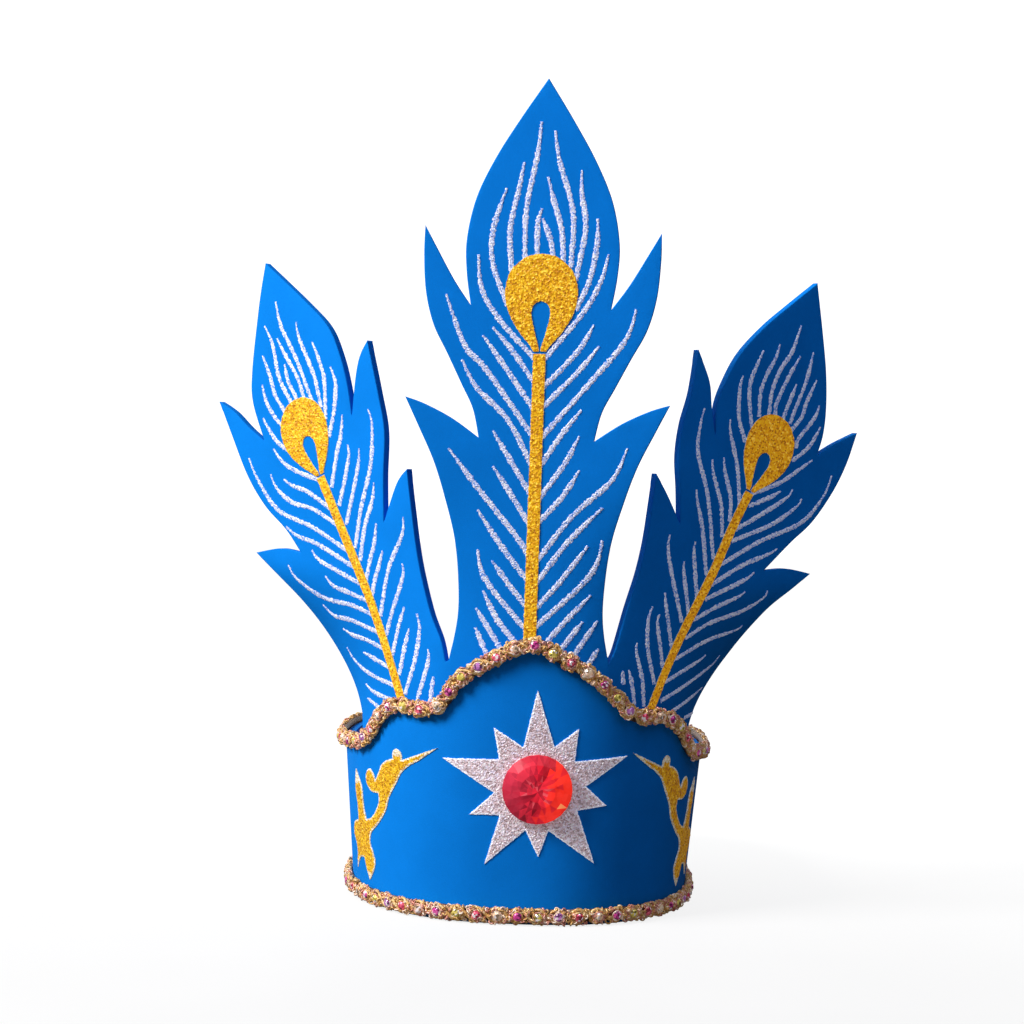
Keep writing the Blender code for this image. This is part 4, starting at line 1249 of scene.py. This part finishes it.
def glitter_looks():
    """The glitter materials by name."""
    gold_tones = (
        (0.0, (0.34, 0.13, 0.006)), (0.14, (0.52, 0.23, 0.006)), (0.34, (0.68, 0.38, 0.005)),
        (0.64, (0.78, 0.5, 0.01)), (0.88, (0.95, 0.7, 0.06)),
    )
    # tint of the gold's glow, a painted reflection, which makes the gold more orange where it is in
    # shade
    gold_reflection_tint = (1.0, 0.72, 1.0)
    return {
        name: glitter_material(name + "_flakes", *look) for name, *look in (
            ("gold", gold_tones, 0.5, 1350.0, gold_reflection_tint),
            ("bird", gold_tones, 0.27, 1350.0, gold_reflection_tint),
            ("pale", (
                (0.0, (0.6, 0.45, 0.26)), (0.3, (0.85, 0.74, 0.5)), (0.65, (0.95, 0.9, 0.85)),
            ), 0.18, 1750.0),
            ("frost", (
                (0.0, (0.7, 0.68, 0.8)), (0.3, (0.9, 0.9, 1.0)), (0.65, (1.0, 1.0, 1.0)),
            ), 0.3, 1750.0),
            ("silver", (
                (0.0, (0.08, 0.26, 0.75)), (0.13, (0.42, 0.48, 0.84)), (0.32, (0.7, 0.74, 1.0)),
                (0.65, (0.88, 0.87, 1.0)), (0.88, (1.0, 1.0, 1.0)),
            ), 0.15, 1750.0),
            ("star", (
                (0.0, (0.38, 0.26, 0.26)), (0.18, (0.62, 0.45, 0.47)), (0.4, (0.8, 0.64, 0.7)),
                (0.7, (0.88, 0.8, 0.97)), (0.86, (1.0, 0.97, 1.0)),
            ), 0.2, 1500.0),
        )
    }


def make_feather_trim(looks):
    """The quills and barbs of the three feathers."""
    centre = quill_loops(
        CENTRE_QUILL_FOOT, CENTRE_EYE_FOOT, 1.0, lambda along: 0.0,
        lambda across, along: (across + CENTRE_SHIFT, along),
    )
    right = side_quill_loops(RIGHT_AXIS)
    left = [mirrored(loop) for loop in side_quill_loops(LEFT_AXIS)]
    for seed, (name, loops) in enumerate((("centre", centre), ("right", right), ("left", left))):
        for loop, form in zip(loops, ("shaft", "eye")):
            piece = plate(
                "quill_%s_%s" % (name, form), [divided(loop, OUTLINE_STEP)], "feather",
                PANEL_FRONT - GLITTER_PROUD, PANEL_FRONT - UNDERSIDE,
                [looks["gold"], looks["pale"]], spacing=GOLD_GRAIN, relief=GRAIN_RELIEF,
                seed=20 + seed,
            )
            fixed(piece, "gold_glitter", "quill_" + name)
    for seed, (name, *barbs) in enumerate((
        ("centre", CENTRE_BARBS, lambda across, along: (across, along), False, 1.18 * MM),
        ("right", RIGHT_BARBS, side_place, False, 1.05 * MM),
        ("left", LEFT_BARBS, side_place, True, 1.05 * MM),
    )):
        piece = barb_strips("barbs_" + name, *barbs, looks["silver"], 40 + seed)
        fixed(piece, "silver_glitter")


def make_band_trim(looks):
    """The star, its stone and the birds."""
    piece = plate(
        "star_glitter", [divided(star_loop(), OUTLINE_STEP)], "band", -GLITTER_PROUD, -UNDERSIDE,
        [looks["star"], looks["frost"]], spacing=GLITTER_GRAIN, relief=GRAIN_RELIEF,
        pale=0.5 * MM, seed=31,
    )
    fixed(piece, "silver_glitter", "star")
    for side, name in ((1, "right"), (-1, "left")):
        piece = plate(
            "bird_%s_glitter" % name, [divided(bird_loop(side), OUTLINE_STEP)], "band",
            -GLITTER_PROUD, -UNDERSIDE, [looks["bird"], looks["pale"]], spacing=GOLD_GRAIN,
            relief=GRAIN_RELIEF, pale=PALE_EDGE, seed=32 + side, spots=[
                (PRINT_SHIFT + side * x * MM, z * MM, reach * MM) for x, z, reach in PALE_SPOTS
            ],
        )
        fixed(piece, "gold_glitter", "bird_" + name)
    # copies of one red, painted lighter and darker: the brightest with strong glow as painted
    # light, the orange and the pale one painted highlights, the darkest painted shade
    reds = {
        tone: big_stone_material("red_" + tone, colour, glow) for tone, colour, glow in (
            ("blaze", (0.92, 0.026, 0.014), 0.85), ("flame", (1.0, 0.3, 0.1), 0.85),
            ("rose", (0.76, 0.03, 0.058), 0.25), ("crimson", (0.46, 0.014, 0.038), 0.25),
            ("ruby", (0.56, 0.01, 0.028), 0.7), ("deep", (0.44, 0.005, 0.026), 0.25),
            ("glint", (0.85, 0.11, 0.14), 0.35),
        )
    }
    fixed(big_stone("star_stone_cut", reds), "cut_stone", "star_stone")


def make_braids():
    """The cords and small stones of both braids."""
    cords = [
        cord_material(name, tuple(zip(places, colours)), glow)
        for name, glow, places, colours in (
            ("gold_cord", 0.08, CORD_STOPS, (
                (0.16, 0.055, 0.01), (0.66, 0.3, 0.06), (1.0, 0.58, 0.17), (1.0, 0.74, 0.36),
                (1.0, 0.96, 0.82),
            )),
            ("copper_cord", 0.08, CORD_STOPS, (
                (0.15, 0.035, 0.02), (0.62, 0.18, 0.11), (1.0, 0.42, 0.3), (1.0, 0.6, 0.5),
                (1.0, 0.9, 0.88),
            )),
            # a paler thread that also stands in for the cream highlights on the loops: partly real
            # tone, partly painted highlight with more glow
            ("pale_highlight_cord", 0.18, CORD_STOPS, (
                (0.34, 0.15, 0.08), (0.9, 0.52, 0.32), (1.0, 0.78, 0.58), (1.0, 0.9, 0.8),
                (1.0, 1.0, 1.0),
            )),
            # the strip behind the loops is dark brown: painted shade in the gaps between the loops
            ("braid_ground_shaded", 0.03, (0.3, 0.5, 0.62, 0.75, 0.9), (
                (0.04, 0.016, 0.008), (0.12, 0.045, 0.018), (0.26, 0.11, 0.04),
                (0.44, 0.22, 0.08), (0.7, 0.4, 0.15),
            )),
        )
    ]
    tones = {
        name: small_stone_material("stone_" + name, colour) for name, colour in (
            ("rose", (0.78, 0.07, 0.15)), ("magenta", (0.64, 0.05, 0.3)),
            ("violet", (0.52, 0.16, 0.5)), ("citrine", (0.74, 0.58, 0.1)),
            # the clear stones are given the gold of the braid around them: a painted reflection
            ("clear", (0.9, 0.6, 0.4)),
        )
    }
    stones = [tones[name] for name in BRAID_STONES]
    for seed, (name, height_at) in enumerate((
        ("top_braid", band_top_height),
        ("bottom_braid", lambda along: LOWER_BRAID_HEIGHT + 0.0 * along),
    )):
        route = Route(height_at)
        fixed(braid_cord(name + "_cord", route, cords, 50 + seed), "gold_braid", name)
        fixed(braid_stones(name + "_stones", route, stones, 60 + seed), "gold_braid")


def area_light(name, place, aim, size, power, colour):
    """A square soft light that looks at a point."""
    light = bpy.data.lights.new(name, "AREA")
    light.shape = "SQUARE"
    light.size = size
    light.energy = power
    light.color = colour
    body = bpy.data.objects.new(name, light)
    body.location = place
    body.rotation_euler = (Vector(aim) - Vector(place)).to_track_quat("-Z", "Y").to_euler()
    bpy.context.scene.collection.objects.link(body)


def make_studio():
    """Floor, soft lights, pale surroundings and the camera."""
    size = 4.0
    floor = new_mesh(
        "floor", [(-size, -size, 0), (size, -size, 0), (size, size, 0), (-size, size, 0)],
        [(0, 1, 2, 3)], [floor_material()], smooth=False,
    )
    # The floor's own brightness stays on the floor, so that it doesn't light the front
    lit = bpy.data.collections.new("lit_by_floor")
    lit.objects.link(floor)
    floor.light_linking.receiver_collection = lit
    area_light("key_light", (-1.2, -0.76, 1.19), (0.0, 0.0, 0.17), 0.6, 45.0, (1.0, 0.98, 0.95))
    area_light("fill_light", (0.25, -0.6, 0.95), (0.0, -0.08, 0.3), 0.7, 2.3, (0.86, 0.96, 1.25))

    world = bpy.data.worlds.new("pale_surroundings")
    bpy.context.scene.world = world
    world.use_nodes = True
    tree = world.node_tree
    direction = tree.nodes.new("ShaderNodeTexCoord").outputs["Generated"]

    def graded(axis, *limits):
        """Brightness that changes smoothly along an axis."""
        dot = tree.nodes.new("ShaderNodeVectorMath")
        dot.operation = "DOT_PRODUCT"
        wired(tree, dot, {0: direction, 1: axis})
        return map_range(tree, dot.outputs["Value"], limits)

    product = tree.nodes.new("ShaderNodeMath")
    product.operation = "MULTIPLY"
    wired(tree, product, {
        0: graded((-0.45, 0.893, 0.0), 0.1, 0.85, 0.05, 1.25),
        1: graded((0.0, 0.0, 1.0), 0.22, 0.7, 1.0, 0.3),
    })
    wired(tree, tree.nodes["Background"], {
        "Color": (1.0, 1.0, 1.0, 1.0), "Strength": product.outputs["Value"],
    })

    # The picture was taken level from 0.95 m in front of the band, a little tilted
    distance, metres_a_pixel, picture = 0.95, 0.0004286, 1024.0
    data = bpy.data.cameras.new("camera")
    data.sensor_width = 36.0
    data.lens = data.sensor_width * (distance / metres_a_pixel) / picture
    data.shift_x = -21.4 / picture
    data.shift_y = -53.7 / picture
    camera = bpy.data.objects.new("camera", data)
    camera.location = (RING_PLACE[0], RING_PLACE[1] - HALF_LENGTH - distance, 0.2)
    camera.rotation_euler = (radians(90.0), radians(-2.0), 0.0)
    bpy.context.scene.collection.objects.link(camera)
    bpy.context.scene.camera = camera
    bpy.context.scene.view_settings.view_transform = "Standard"


make_foam()
glitter = glitter_looks()
make_feather_trim(glitter)
make_band_trim(glitter)
make_braids()
make_studio()
